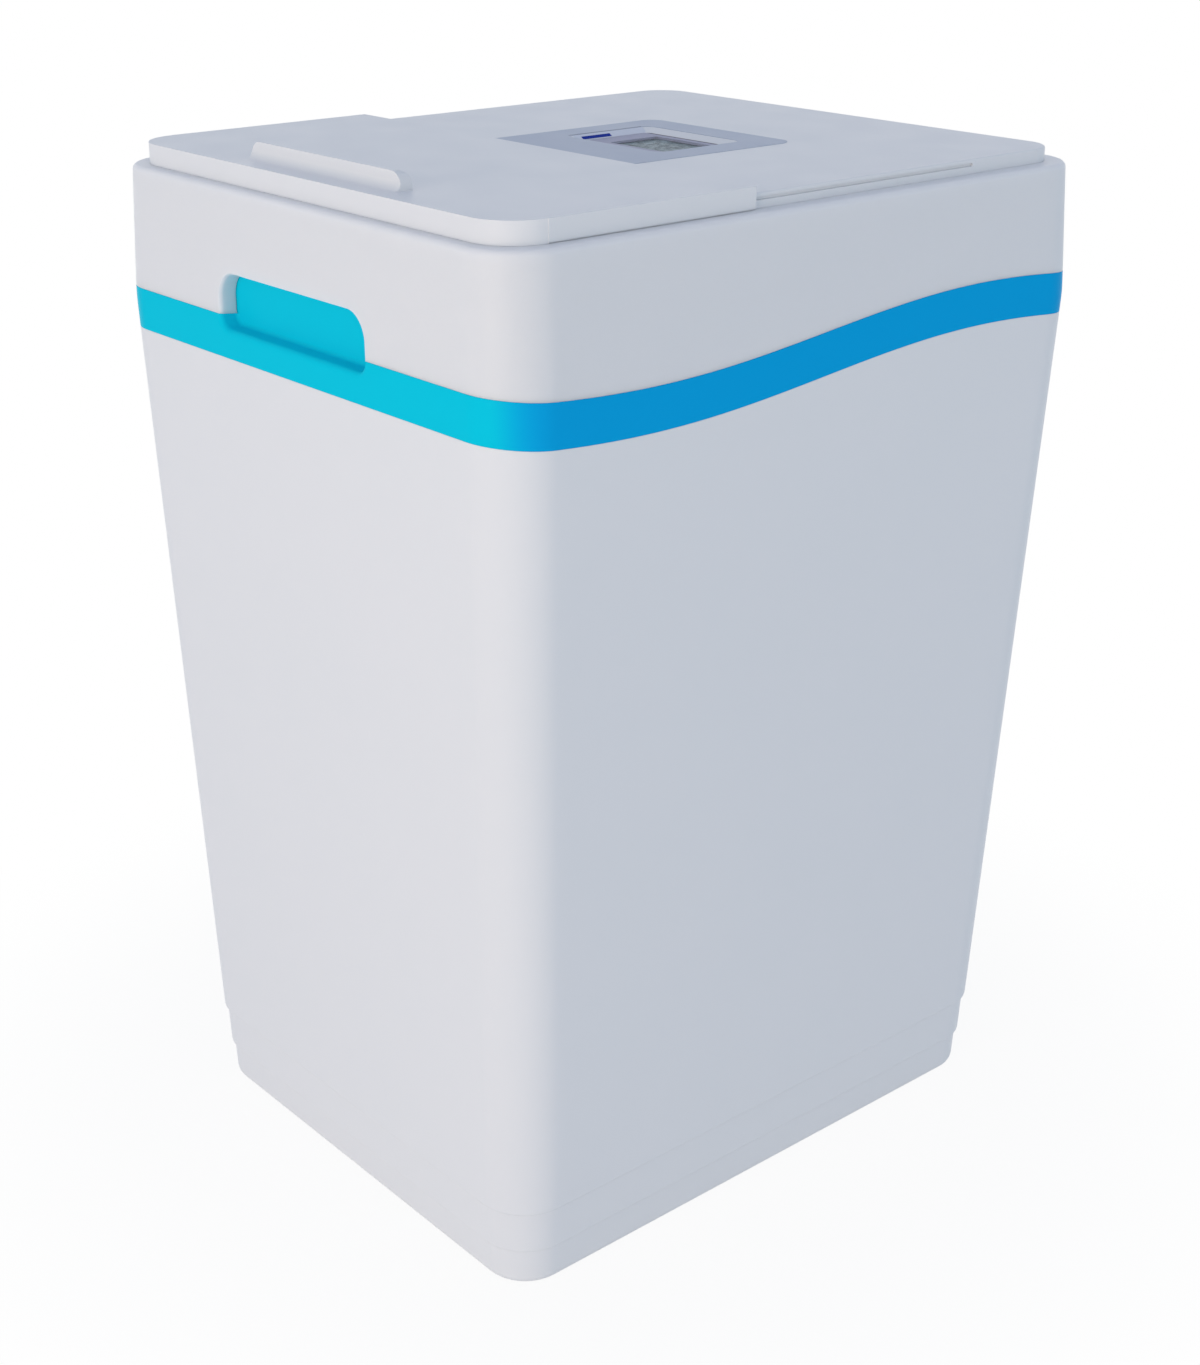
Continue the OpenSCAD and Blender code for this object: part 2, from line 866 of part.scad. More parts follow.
// Sliding tray lid: plate, front wall, side skirts with guide lugs, and a finger ridge
module salt_lid() {
    half = lid_w / 2;
    inner = deck_w / 2 + slide_fit;
    skirt_y = -lid_front + skirt_start;
    lug_in = groove_depth - hole_fit;
    lug_h = groove_h - 2 * slide_fit;
    ridge_steps = 10;
    ridge_edge = 1;
    color(white_plastic) {
        difference() {
            union() {
                translate([0, 0, shoulder_z + slide_fit])
                    linear_extrude(height = lid_h - slide_fit)
                        mirror([0, 1])
                            rounded_end(half - skirt_proud, -skirt_y - slab_t, lid_front, lid_r);
                translate([-half, skirt_y, shoulder_z + skirt_gap])
                    cube([lid_w, lid_rear - skirt_y, lid_h - skirt_gap]);
            }
            translate([0, 0, shoulder_z - through])
                linear_extrude(height = lid_under - shoulder_z + through)
                    mirror([0, 1])
                        rounded_end(inner, -lid_rear - through, lid_front - lid_wall,
                            lid_r - lid_wall);
        }
        for (sx = [-1, 1])
            translate([sx > 0 ? inner - lug_in - slide_fit : -inner - slab_t,
                lid_rear - lug_len, groove_mid - lug_h / 2])
                cube([lug_in + slide_fit + slab_t, lug_len, lug_h]);
        translate([0, -lid_front + ridge_set, 0])
            intersection() {
                translate([0, 0, lid_top - slab_t])
                    rotate([90, 0, 90])
                        linear_extrude(height = ridge_len, center = true)
                            polygon(concat([[0, 0]],
                                [for (i = [0:ridge_steps])
                                    let (a = 90 * i / ridge_steps) [ridge_t * sin(a), ridge_h * cos(a)]]));
                facing_y(-ridge_t, 2 * ridge_t)
                    two_radius(ridge_len, lid_top - ridge_h, lid_top + ridge_h, ridge_edge,
                        ridge_h - ridge_edge);
            }
    }
}

// Slotted platform on legs that holds the salt off the tank floor
module salt_grid() {
    gap = 3;
    well_gap = 1;
    edge = wall + gap;
    slot_w = 4;
    slot_len = 30;
    pitch_x = 16;
    pitch_y = 44;
    rows = 4;
    columns = 6;
    color(natural_plastic)
        difference() {
            union() {
                translate([0, main_y(grid_z), grid_z])
                    linear_extrude(height = grid_t)
                        rounded(main_w(grid_z) - 2 * edge, main_d(grid_z) - 2 * edge, corner_r - edge);
                for (sx = [-1, 1], y = [-leg_y, 0, leg_y])
                    translate([sx * leg_x, y + main_y(floor_t), floor_t])
                        cylinder(r = leg_r, h = grid_z - floor_t + slab_t);
            }
            translate([0, vessel_y, grid_z - through])
                cylinder(r = vessel_r + gap, h = grid_t + 2 * through);
            translate([-well_x, -well_y, grid_z - through])
                cylinder(r = well_r + well_gap, h = grid_t + 2 * through);
            for (i = [0:columns], j = [0:rows - 1])
                translate([i * pitch_x + pitch_x, -well_y - slot_len + j * pitch_y, grid_z - through])
                    cube([slot_w, slot_len, grid_t + 2 * through]);
        }
}

// Upright tube with water slots at its foot
module brine_well() {
    slot_w = 6;
    slot_h = 50;
    slots = 3;
    color(white_plastic)
        translate([-well_x, -well_y, 0])
            difference() {
                translate([0, 0, floor_t])
                    cylinder(r = well_r, h = well_z - floor_t);
                translate([0, 0, floor_t - through])
                    cylinder(r = well_r - well_t, h = well_z);
                for (i = [0:slots - 1])
                    rotate(i * 180 / slots)
                        block(2 * (well_r + through), slot_w, 2 * floor_t, 2 * floor_t + slot_h);
            }
}

// Cap that closes the well and carries the brine valve
module brine_well_cap() {
    color(band_blue)
        translate([-well_x, -well_y, well_z])
            difference() {
                union() {
                    cylinder(r = well_r + cap_lap, h = cap_t);
                    translate([0, 0, -cap_t])
                        cylinder(r = well_r - well_t - part_fit, h = cap_t + slab_t);
                }
                translate([0, 0, -2 * cap_t])
                    cylinder(r = brine_valve_r + part_fit, h = 4 * cap_t);
            }
}

// Pick-up rod with a strainer foot and two stops for the float
module float_rod() {
    color(natural_plastic)
        translate([-well_x, -well_y, 0]) {
            translate([0, 0, floor_t])
                cylinder(r = rod_foot_r, h = rod_foot_h);
            translate([0, 0, floor_t])
                cylinder(r = rod_r, h = brine_valve_z - floor_t);
            translate([0, 0, float_z - soft_fit - stop_t])
                cylinder(r = stop_r, h = stop_t);
            translate([0, 0, float_z + float_h + float_travel + soft_fit])
                cylinder(r = stop_r, h = stop_t);
        }
}

// Float that rises on the rod as the well fills
module brine_float() {
    edge = 8;
    color(white_plastic)
        translate([-well_x, -well_y, float_z])
            difference() {
                rotate_extrude() {
                    translate([0, edge])
                        square([float_r, float_h - 2 * edge]);
                    square([float_r - edge, float_h]);
                    for (z = [edge, float_h - edge])
                        translate([float_r - edge, z])
                            circle(r = edge);
                }
                translate([0, 0, -through])
                    cylinder(r = rod_r + hole_fit, h = float_h + 2 * through);
            }
}

// Shut-off valve that hangs in the cap, with a nipple for the brine tube
module brine_valve() {
    color(dark_plastic)
        translate([-well_x, -well_y, 0]) {
            translate([0, 0, brine_valve_z])
                cylinder(r = brine_valve_r, h = brine_valve_h + cap_t);
            translate([0, 0, well_z + cap_t])
                cylinder(r = brine_flange_r, h = brine_flange_t);
            translate([0, 0, well_z + cap_t])
                cylinder(r = nipple_r, h = nipple_h);
        }
}

// Brine tube from the well to the valve, with two quarter bends
module brine_run(r) {
    translate([0, vessel_y, hose_z])
        along_x(-well_x + hose_bend, -brine_reach, r);
    translate([-well_x + hose_bend, vessel_y - hose_bend, hose_z])
        rotate(90)
            rotate_extrude(angle = 90)
                translate([hose_bend, 0])
                    circle(r = r);
    translate([-well_x, 0, hose_z])
        along_y(-well_y + hose_bend, vessel_y - hose_bend, r);
    translate([-well_x, -well_y + hose_bend, hose_z - hose_bend])
        rotate([90, 0, -90])
            rotate_extrude(angle = 90)
                translate([hose_bend, 0])
                    circle(r = r);
    translate([-well_x, -well_y, hose_end])
        cylinder(r = r, h = hose_z - hose_bend - hose_end);
}

module brine_line() {
    color("white")
        difference() {
            brine_run(hose_r);
            brine_run(hose_bore_r);
        }
}

// Half outline of a tank with two elliptic domes
function capsule(r, dome, z0, z1) = concat(
    [for (a = [-90:10:0]) [r * cos(a), z0 + dome + dome * sin(a)]],
    [for (a = [0:10:90]) [r * cos(a), z1 - dome + dome * sin(a)]]);

module vessel_solid(grow) {
    rotate_extrude()
        polygon(capsule(vessel_r + grow, dome_h + grow, vessel_z0 - grow, vessel_z1 + grow));
}

// Foot that the round vessel stands in
module vessel_boot() {
    color(dark_plastic)
        translate([0, vessel_y, 0])
            difference() {
                translate([0, 0, floor_t])
                    cylinder(r = boot_r, h = boot_h);
                vessel_solid(part_fit);
            }
}

// Pressure vessel with domed ends and a threaded neck
module resin_vessel() {
    color("steelblue")
        translate([0, vessel_y, 0])
            difference() {
                union() {
                    vessel_solid(0);
                    translate([0, 0, neck_z0])
                        cylinder(r = neck_r, h = neck_h);
                }
                vessel_solid(-vessel_t);
                translate([0, 0, neck_z0 - dome_h / 2])
                    cylinder(r = neck_bore_r, h = neck_h + dome_h);
            }
}

// Bed of softening resin beads
module resin_bed() {
    color(resin_amber)
        translate([0, vessel_y, 0])
            difference() {
                intersection() {
                    vessel_solid(-vessel_t - soft_fit);
                    cylinder(r = vessel_r, h = vessel_z0 + resin_h);
                }
                translate([0, 0, basket_z - 2 * through])
                    cylinder(r = basket_r + soft_fit, h = basket_h + 2 * through + soft_fit);
                cylinder(r = riser_r + soft_fit, h = neck_z);
            }
}

// Tube that carries treated water up from the lower basket
module riser_tube() {
    color(natural_plastic)
        translate([0, vessel_y, riser_z0])
            difference() {
                cylinder(r = riser_r, h = riser_z1 - riser_z0);
                translate([0, 0, -through])
                    cylinder(r = riser_r - riser_t, h = riser_z1 - riser_z0 + 2 * through);
            }
}

// Slotted strainer round the riser tube
module basket(z0, socket_z0) {
    slots = 6;
    slot_w = 1.5;
    rim = 4;
    translate([0, vessel_y, 0])
        difference() {
            translate([0, 0, z0])
                cylinder(r = basket_r, h = basket_h);
            translate([0, 0, socket_z0])
                cylinder(r = riser_r + part_fit, h = basket_h + 2 * through);
            for (i = [0:slots - 1])
                rotate(i * 360 / slots)
                    translate([riser_r + rim, -slot_w / 2, z0 + rim])
                        cube([basket_r, slot_w, basket_h - 2 * rim]);
        }
}

module lower_basket() {
    color(white_plastic)
        basket(basket_z, riser_z0);
}

module upper_basket() {
    color(white_plastic)
        basket(spigot_z - basket_h, spigot_z - basket_h - through);
}

// Barrel on a threaded spigot, with pipe sockets, brine and drain ports and posts for the tray
module valve_body() {
    bore_r = brine_port_r / 2;
    web = 4;
    color(dark_plastic)
        difference() {
            union() {
                translate([0, vessel_y, 0]) {
                    translate([0, 0, spigot_z])
                        cylinder(r = neck_bore_r - part_fit, h = spigot_h + slab_t);
                    translate([0, 0, neck_z])
                        cylinder(r = flange_r, h = flange_h);
                    translate([0, 0, neck_z])
                        cylinder(r = column_r, h = valve_z - neck_z);
                    translate([0, 0, hose_z])
                        along_x(-brine_reach, 0, brine_port_r);
                }
                translate([0, 0, valve_z])
                    along_y(barrel_front, barrel_rear, barrel_r);
                for (sx = [-1, 1]) {
                    translate([sx * port_x, 0, port_z])
                        along_y(vessel_y + drain_r + web, socket_rear, tail_r + socket_t);
                    translate([sx * post_x, post_y, valve_z])
                        cylinder(r = post_r, h = tray_z - valve_z);
                }
                translate([0, drain_y, port_z])
                    along_x(0, drain_reach, brine_port_r);
            }
            translate([0, 0, valve_z])
                along_y(barrel_front - through, barrel_front + chamber_depth, chamber_r + part_fit);
            translate([0, vessel_y, spigot_z - through]) {
                cylinder(r = riser_r + part_fit, h = valve_z - spigot_z);
                translate([0, 0, neck_z - spigot_z + through])
                    rotate_extrude()
                        translate([ring_r - ring_t, -through])
                            square([2 * ring_t, 2 * ring_t + through]);
            }
            for (sx = [-1, 1])
                translate([sx * port_x, 0, port_z]) {
                    along_y(barrel_rear - 4 * web, socket_rear + through, tail_bore_r);
                    along_y(socket_rear - tail_seat, socket_rear + through, tail_r + part_fit);
                }
            translate([0, vessel_y, hose_z])
                along_x(-brine_reach - through, -riser_r, bore_r);
            translate([0, drain_y, port_z])
                along_x(column_r, drain_reach + through, bore_r);
        }
}

// Seal between the vessel's neck and the valve
module neck_o_ring() {
    color(rubber_black)
        translate([0, vessel_y, neck_z + ring_t])
            rotate_extrude()
                translate([ring_r, 0])
                    circle(r = ring_t);
}

// Ceramic disc with radial ports
module ported_disc(y0, r, ports) {
    port_w = 6;
    port_in = 12;
    translate([0, y0, valve_z])
        rotate([-90, 0, 0])
            difference() {
                cylinder(r = r, h = disc_t);
                for (i = [0:ports - 1])
                    rotate(i * 360 / ports)
                        translate([port_in, -port_w / 2, -through])
                            cube([r - port_w - port_in, port_w, disc_t + 2 * through]);
            }
}

module fixed_disc() {
    color(ceramic)
        ported_disc(fixed_y, chamber_r, fixed_ports);
}

module rotary_disc() {
    color(ceramic)
        ported_disc(rotary_y, chamber_r - chamber_gap / 2, fixed_ports / 2);
}

// Shaft that turns the rotary disc
module drive_shaft() {
    color(dark_plastic)
        translate([0, 0, valve_z]) {
            along_y(plate_y + plate_t + soft_fit, rotary_y, shaft_r);
            along_y(plate_y, plate_y + plate_t + soft_fit + slab_t, journal_r);
        }
}

// End cover of the barrel, with the shaft's bearing
module valve_cover() {
    color(natural_plastic)
        translate([0, 0, valve_z])
            difference() {
                along_y(cover_y, barrel_front, barrel_r);
                along_y(cover_y - through, barrel_front + through, shaft_r + run_fit);
                for (a = [0:90:270])
                    rotate([0, a, 0])
                        translate([screw_ring, 0, 0])
                            along_y(cover_y - through, barrel_front + through, screw_r + part_fit);
            }
}

// Pan-head screw along Y, with its head towards the front
module screw_y(head_y, r, len, head_r, head_t) {
    along_y(head_y - head_t, head_y, head_r);
    along_y(head_y - slab_t, head_y + len, r);
}

module valve_cover_screws() {
    color(steel)
        translate([0, 0, valve_z])
            for (a = [0:90:270])
                rotate([0, a, 0])
                    translate([screw_ring, 0, 0])
                        screw_y(cover_y, screw_r, cover_t, screw_head_r, screw_head_t);
}

// Plate that carries the motor, the front end of the shaft and the control tray
module drive_plate() {
    edge = 2;
    low = barrel_r + edge;
    color(dark_plastic)
        difference() {
            translate([-plate_half, plate_y, valve_z - low])
                cube([2 * plate_half, plate_t, tray_z - valve_z + low]);
            translate([0, 0, valve_z]) {
                along_y(0, cover_y, journal_r + run_fit);
                translate([motor_x, 0, 0]) {
                    along_y(0, cover_y, motor_shaft_r + shaft_gap);
                    for (sz = [-1, 1])
                        translate([0, 0, sz * motor_screw_ring])
                            along_y(0, cover_y, screw_r + part_fit);
                }
            }
        }
}

// Spacers between the end cover and the drive plate
module plate_pillars() {
    color(steel)
        translate([0, 0, valve_z])
            for (a = pillar_angles)
                rotate([0, a, 0])
                    translate([pillar_ring, 0, 0])
                        along_y(plate_y + plate_t, cover_y, pillar_r);
}

// Involute gear outline with a tooth on the x axis
function involute(r, base) = let (t = sqrt(max(0, r * r / (base * base) - 1))) t * 180 / PI - atan(t);

module gear_outline(teeth) {
    pitch = gear_mod * teeth / 2;
    base = pitch * cos(pressure_angle);
    tip = pitch + gear_mod;
    dedendum = 1.25;
    root = pitch - dedendum * gear_mod;
    low = max(base, root);
    flank_steps = 4;
    half = 90 / teeth - gear_backlash / (2 * pitch) * 180 / PI + involute(pitch, base);
    flank = [for (i = [0:flank_steps])
        let (r = low + (tip - low) * i / flank_steps) [r, half - involute(r, base)]];
    side = concat([[root, half - involute(low, base)]], flank);
    count = len(side);
    polygon([for (k = [0:teeth - 1], j = [0:2 * count - 1])
        let (p = j < count ? side[j] : side[2 * count - 1 - j],
            a = 360 * k / teeth + (j < count ? -p[1] : p[1])) p[0] * [cos(a), sin(a)]]);
}

module drive_gear() {
    color(white_plastic)
        translate([0, gear_y, valve_z])
            rotate([-90, 0, 0])
                difference() {
                    linear_extrude(height = gear_t)
                        gear_outline(gear_teeth);
                    translate([0, 0, -through])
                        cylinder(r = shaft_r + run_fit, h = gear_t + 2 * through);
                }
}

// Pinion with its own shaft end in the motor
module motor_pinion() {
    color("goldenrod")
        translate([motor_x, 0, valve_z]) {
            translate([0, gear_y, 0])
                rotate([-90, 0, 0])
                    rotate(180 / pinion_teeth)
                        linear_extrude(height = gear_t)
                            gear_outline(pinion_teeth);
            along_y(plate_y - pinion_seat, gear_y + slab_t, motor_shaft_r);
        }
}

// Geared motor in front of the drive plate
module gear_motor() {
    box_share = 0.4;
    box = motor_len * box_share;
    step = 3;
    color(steel)
        translate([motor_x, 0, valve_z])
            difference() {
                union() {
                    along_y(plate_y - box, plate_y, motor_r);
                    along_y(plate_y - motor_len, plate_y - box + slab_t, motor_r - step);
                }
                along_y(plate_y - pinion_seat - shaft_gap, plate_y + through, motor_shaft_r + run_fit);
                for (sz = [-1, 1])
                    translate([0, 0, sz * motor_screw_ring])
                        along_y(plate_y - screw_len, plate_y + through, screw_r + part_fit);
            }
}

module motor_screws() {
    color(steel)
        translate([motor_x, 0, valve_z])
            for (sz = [-1, 1])
                translate([0, 2 * (plate_y + plate_t), sz * motor_screw_ring])
                    mirror([0, 1, 0])
                        screw_y(plate_y + plate_t, screw_r, screw_len, motor_head_r, screw_head_t);
}

// Sensor that reads the position of the drive gear
module position_sensor() {
    sensor_w = 14;
    sensor_h = 18;
    sensor_t = 3;
    gap = 2;
    color(board_green)
        translate([-gear_r - gear_mod - gap - sensor_w, plate_y + plate_t, valve_z - sensor_h / 2])
            cube([sensor_w, sensor_t, sensor_h]);
}

// Threaded pipe tail with a flange that seats on its socket
module pipe_tail() {
    difference() {
        union() {
            along_y(socket_rear - tail_seat + part_fit, free_y + slab_t, tail_r - tail_relief);
            along_y(socket_rear, socket_rear + tail_flange_t, tail_flange_r);
            along_y(free_y, tail_end, tail_r);
        }
        along_y(socket_rear - tail_seat - through, tail_end + through, tail_bore_r);
    }
}

module inlet_tail() {
    color(white_plastic)
        translate([port_x, 0, port_z])
            pipe_tail();
}

module outlet_tail() {
    color(white_plastic)
        translate([-port_x, 0, port_z])
            pipe_tail();
}

// Spoked holder for the turbine, with its fixed pin
module turbine_cage() {
    spokes = 3;
    ring_w = 1.4;
    color(natural_plastic)
        translate([-port_x, 0, port_z]) {
            difference() {
                along_y(turbine_y - cage_t, turbine_y, tail_bore_r - run_fit);
                along_y(turbine_y - 2 * cage_t, turbine_y + cage_t, tail_bore_r - ring_w);
            }
            along_y(turbine_y - cage_t, turbine_y, turbine_hub_r);
            along_y(turbine_y - slab_t, turbine_y + turbine_len + 2 * soft_fit, turbine_pin_r);
            for (i = [0:spokes - 1])
                rotate([0, 360 * i / spokes, 0])
                    translate([turbine_hub_r - blade_root, turbine_y - cage_t, -blade_t / 2])
                        cube([tail_bore_r - ring_w / 2 - turbine_hub_r + blade_root, cage_t, blade_t]);
        }
}

// Bladed wheel that counts the water
module flow_turbine() {
    blades = 5;
    color(band_blue)
        translate([-port_x, 0, port_z])
            difference() {
                union() {
                    along_y(turbine_y + soft_fit, turbine_y + turbine_len, turbine_hub_r);
                    for (i = [0:blades - 1])
                        rotate([0, 360 * i / blades, 0])
                            translate([turbine_hub_r - blade_root, turbine_y + blade_root, -blade_t / 2])
                                cube([turbine_r - turbine_hub_r + blade_root,
                                    turbine_len - 2 * blade_root, blade_t]);
                }
                along_y(turbine_y - through, turbine_y + 2 * turbine_len, turbine_pin_r + run_fit);
            }
}

// Drain tail: out of the valve's side, round a bend and through the rear panel
module drain_run(r, over) {
    translate([0, drain_y, port_z])
        along_x(drain_reach - over, side_x - drain_bend, r);
    translate([side_x - drain_bend, drain_y + drain_bend, port_z])
        rotate(-90)
            rotate_extrude(angle = 90)
                translate([drain_bend, 0])
                    circle(r = r);
    translate([side_x, 0, port_z])
        along_y(drain_y + drain_bend, tail_end + over, r);
}

module drain_elbow() {
    drain_wall = 2;
    color(dark_plastic)
        difference() {
            union() {
                drain_run(drain_r - tail_relief, 0);
                translate([side_x, 0, port_z])
                    along_y(free_y, tail_end, drain_r);
            }
            drain_run(drain_r - drain_wall, through);
        }
}

// Low-voltage socket in the rear panel
module power_inlet() {
    body_len = 18;
    bezel_t = 2;
    bezel_w = 3;
    bezel_r = 2 * jack_r + bezel_w;
    color(rubber_black)
        translate([-side_x, 0, port_z])
            difference() {
                union() {
                    along_y(panel_y - body_len, panel_y + slab_t, 2 * jack_r);
                    along_y(panel_y, panel_y + bezel_t, bezel_r);
                }
                along_y(panel_y + bezel_t - jack_depth, panel_y + bezel_t + through, jack_r);
            }
}

// Overflow through the rear wall: inner flange, barrel and hose tail
module overflow_fitting() {
    rear = main_d(overflow_z) / 2 + main_y(overflow_z);
    flange_t = 4;
    flange_w = 6;
    tail_t = 2;
    inside = rear - wall - wall_lean;
    end = rear + 3 * flange_t;
    color(dark_plastic)
        translate([overflow_x, 0, overflow_z])
            difference() {
                union() {
                    along_y(inside - flange_t, inside, overflow_r + flange_w);
                    along_y(inside - slab_t, end, overflow_r);
                    along_y(end - slab_t, end + overflow_tail, overflow_tail_r);
                }
                along_y(0, belt_d, overflow_tail_r - tail_t);
            }
}

module overflow_nut() {
    rear = main_d(overflow_z) / 2 + main_y(overflow_z);
    nut_t = 8;
    nut_w = 7;
    color(dark_plastic)
        translate([overflow_x, 0, overflow_z])
            difference() {
                translate([0, rear + wall_lean, 0])
                    rotate([-90, 0, 0])
                        cylinder(r = overflow_r + nut_w, h = nut_t, $fn = 6);
                along_y(0, belt_d, overflow_r + run_fit);
            }
}

// Places of the control unit's four corner screws
module at_corners() {
    for (sx = [-1, 1], sy = [-1, 1])
        translate([sx * (tray_half - corner_post_in), tray_mid + sy * (tray_len / 2 - corner_post_in), 0])
            children();
}

// Tray under the control board, with corner posts
module control_tray() {
    color(dark_plastic)
        difference() {
            union() {
                translate([0, tray_mid, 0])
                    difference() {
                        block(2 * tray_half, tray_len, tray_z, face_z - face_t);
                        block(2 * (tray_half - tray_t), tray_len - 2 * tray_t, tray_z + tray_t, face_z);
                        block(2 * (tray_half - 4 * corner_post_in), tray_len / 3, 0, tray_z + 2 * tray_t);
                    }
                at_corners()
                    translate([0, 0, tray_z + slab_t])
                        cylinder(r = corner_post_r, h = face_z - face_t - tray_z - slab_t);
                for (sx = [-1, 1])
                    translate([sx * (tray_half - tray_t - board_lift), tray_mid, 0])
                        block(2 * board_lift + 2 * slab_t, board_lift, tray_z + tray_t - slab_t, board_z);
            }
            at_corners()
                translate([0, 0, board_z])
                    cylinder(r = small_screw_r + run_fit, h = face_z);
        }
}

// Circuit board, cut away round the corner posts
module control_board() {
    color(board_green)
        difference() {
            translate([0, tray_mid, 0])
                block(2 * (tray_half - tray_t - board_gap), tray_len - 2 * (tray_t + board_gap),
                    board_z, board_top);
            at_corners()
                block(4 * corner_post_r, 4 * corner_post_r, 0, face_z);
        }
}

// Places of the four keys, from left to right
function key_x(i) = (i - (key_count - 1) / 2) * key_pitch;

module key_switches() {
    color(rubber_black)
        for (i = [0:key_count - 1])
            translate([key_x(i), -key_y, 0])
                block(switch_w, switch_w, board_top, key_low - key_travel - part_fit);
}

// Display module that reaches up to the window
module lcd_module() {
    color("darkseagreen")
        translate([0, recess_y, 0])
            block(lcd_w, lcd_d, board_top, lcd_top);
}

// Top face of the control unit, with the display frame and the key holes
module control_cover() {
    gap = 2 * part_fit;
    key_gap = 2 * soft_fit;
    color(dark_plastic)
        difference() {
            union() {
                translate([0, tray_mid, 0])
                    block(2 * tray_half, tray_len, face_z - face_t, face_z);
                translate([0, recess_y, 0])
                    block(lcd_w + gap + 2 * frame_t, lcd_d + gap + 2 * frame_t, face_z - slab_t, frame_top);
            }
            translate([0, recess_y, 0])
                block(lcd_w + gap, lcd_d + gap, 0, deck_top);
            for (i = [0:key_count - 1])
                translate([key_x(i), -key_y, 0])
                    block(key_w + key_gap, key_d + key_gap, 0, deck_top);
            at_corners()
                cylinder(r = small_screw_r + part_fit, h = deck_top);
        }
}

module control_screws() {
    color(steel)
        at_corners() {
            translate([0, 0, face_z])
                cylinder(r = small_head_r, h = small_head_t);
            translate([0, 0, board_z + part_fit])
                cylinder(r = small_screw_r, h = face_z - board_z);
        }
}

// Key cap with a flange that keeps it in the cover
module key_cap(i) {
    translate([key_x(i), -key_y, 0]) {
        block(key_w + 2 * key_flange, key_d + 2 * key_flange, key_low, key_low + key_flange_t);
        block(key_w, key_d, key_low, face_z + key_h);
    }
}

module key_menu() {
    color(natural_plastic)
        key_cap(0);
}

module key_up() {
    color(natural_plastic)
        key_cap(1);
}

module key_down() {
    color(natural_plastic)
        key_cap(2);
}

module key_regen() {
    color(band_blue)
        key_cap(3);
}

tank_body();
blue_band();
upper_shell();
rear_panel();
salt_guard();
top_deck();
display_label();
display_lens();
salt_lid();
salt_grid();
brine_well();
brine_well_cap();
float_rod();
brine_float();
brine_valve();
brine_line();
vessel_boot();
resin_vessel();
resin_bed();
riser_tube();
lower_basket();
upper_basket();
valve_body();
neck_o_ring();
fixed_disc();
rotary_disc();
drive_shaft();
valve_cover();
valve_cover_screws();
drive_plate();
plate_pillars();
drive_gear();
motor_pinion();
gear_motor();
motor_screws();
position_sensor();
inlet_tail();
outlet_tail();
turbine_cage();
flow_turbine();
drain_elbow();
power_inlet();
overflow_fitting();
overflow_nut();
control_tray();
control_board();
key_switches();
lcd_module();
control_cover();
control_screws();
key_menu();
key_up();
key_down();
key_regen();
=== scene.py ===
import math

import bmesh
import bpy
from mathutils import Matrix, Vector


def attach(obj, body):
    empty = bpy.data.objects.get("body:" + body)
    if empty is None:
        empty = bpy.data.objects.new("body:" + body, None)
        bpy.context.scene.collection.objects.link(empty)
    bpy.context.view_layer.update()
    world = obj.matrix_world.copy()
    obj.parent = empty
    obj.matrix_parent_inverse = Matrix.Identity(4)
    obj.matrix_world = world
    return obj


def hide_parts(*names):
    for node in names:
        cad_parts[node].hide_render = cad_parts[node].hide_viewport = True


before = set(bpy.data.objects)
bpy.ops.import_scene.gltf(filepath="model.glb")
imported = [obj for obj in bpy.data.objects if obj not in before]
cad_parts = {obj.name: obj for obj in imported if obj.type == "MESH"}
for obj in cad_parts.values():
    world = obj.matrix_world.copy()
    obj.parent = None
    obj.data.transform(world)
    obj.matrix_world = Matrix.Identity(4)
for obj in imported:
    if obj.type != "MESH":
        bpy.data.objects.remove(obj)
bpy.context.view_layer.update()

mm = 0.001

# ---- Tank body ----
# The salt tank is one tall tub, injection moulded in white polypropylene with a drafted wall.
# Its foot steps in twice, and its rim follows the wave on which the blue band sits.

corner_radius = 34 * mm
wall = 3.5 * mm
floor_thickness = 4 * mm
step_inset = 2 * mm
foot_height = 27 * mm
step_height = 57 * mm
foot_shift = 4 * mm
foot_edge = 6 * mm
step_edge = 1.6 * mm
belt_height = 576 * mm
belt_blend = 0.3 * mm
shoulder_height = 657 * mm
band_height = 26 * mm
wave_middle_mm = 584.3
wave_rise_mm = 9.5
wave_half_length = 260 * mm
seam_edge = 0.25 * mm
weld_distance = 1e-6


def soft_lesser(a, b, rounding):
    """The lesser of two sizes, with the change from one to the other rounded off."""
    return (a + b) / 2 - math.hypot((a - b) / 2, rounding)


def cabinet_size(z, base, belt, shoulder):
    """Outer size at a height, from sizes in millimetres: it grows up to the belt and shrinks above it."""
    below = (base + (belt - base) * z / belt_height) * mm
    above = (belt - (belt - shoulder) * (z - belt_height) / (shoulder_height - belt_height)) * mm
    return soft_lesser(below, above, belt_blend)


def cabinet_width(z):
    return cabinet_size(z, base=360, belt=403, shoulder=396)


def cabinet_depth(z):
    return cabinet_size(z, base=435, belt=471, shoulder=465)


def cabinet_middle(z):
    """Place of the middle, front to back. The front has less draft than the rear."""
    return min(0, foot_shift * (z / belt_height - 1))


def wave_height(y):
    """Height of the band's upper edge at a distance behind the middle."""
    return (wave_middle_mm + wave_rise_mm * math.sin(math.pi * y / wave_half_length)) * mm


def flat_ring(width, depth, radius, z, rear_radius=None, middle=0.0):
    """Plan outline with four round corners at one height. The rear two may have their own radius.
    An outline is its height, width, depth, middle and corner radii, the first four as functions."""
    radii = (radius, rear_radius or radius)
    return lambda y: z, lambda h: width, lambda h: depth, lambda h: middle, radii


def cabinet_ring(z, inset):
    """Plan outline of the cabinet at one height, drawn in by the inset."""
    return flat_ring(cabinet_width(z) - 2 * inset, cabinet_depth(z) - 2 * inset, corner_radius - inset, z,
                     middle=cabinet_middle(z))


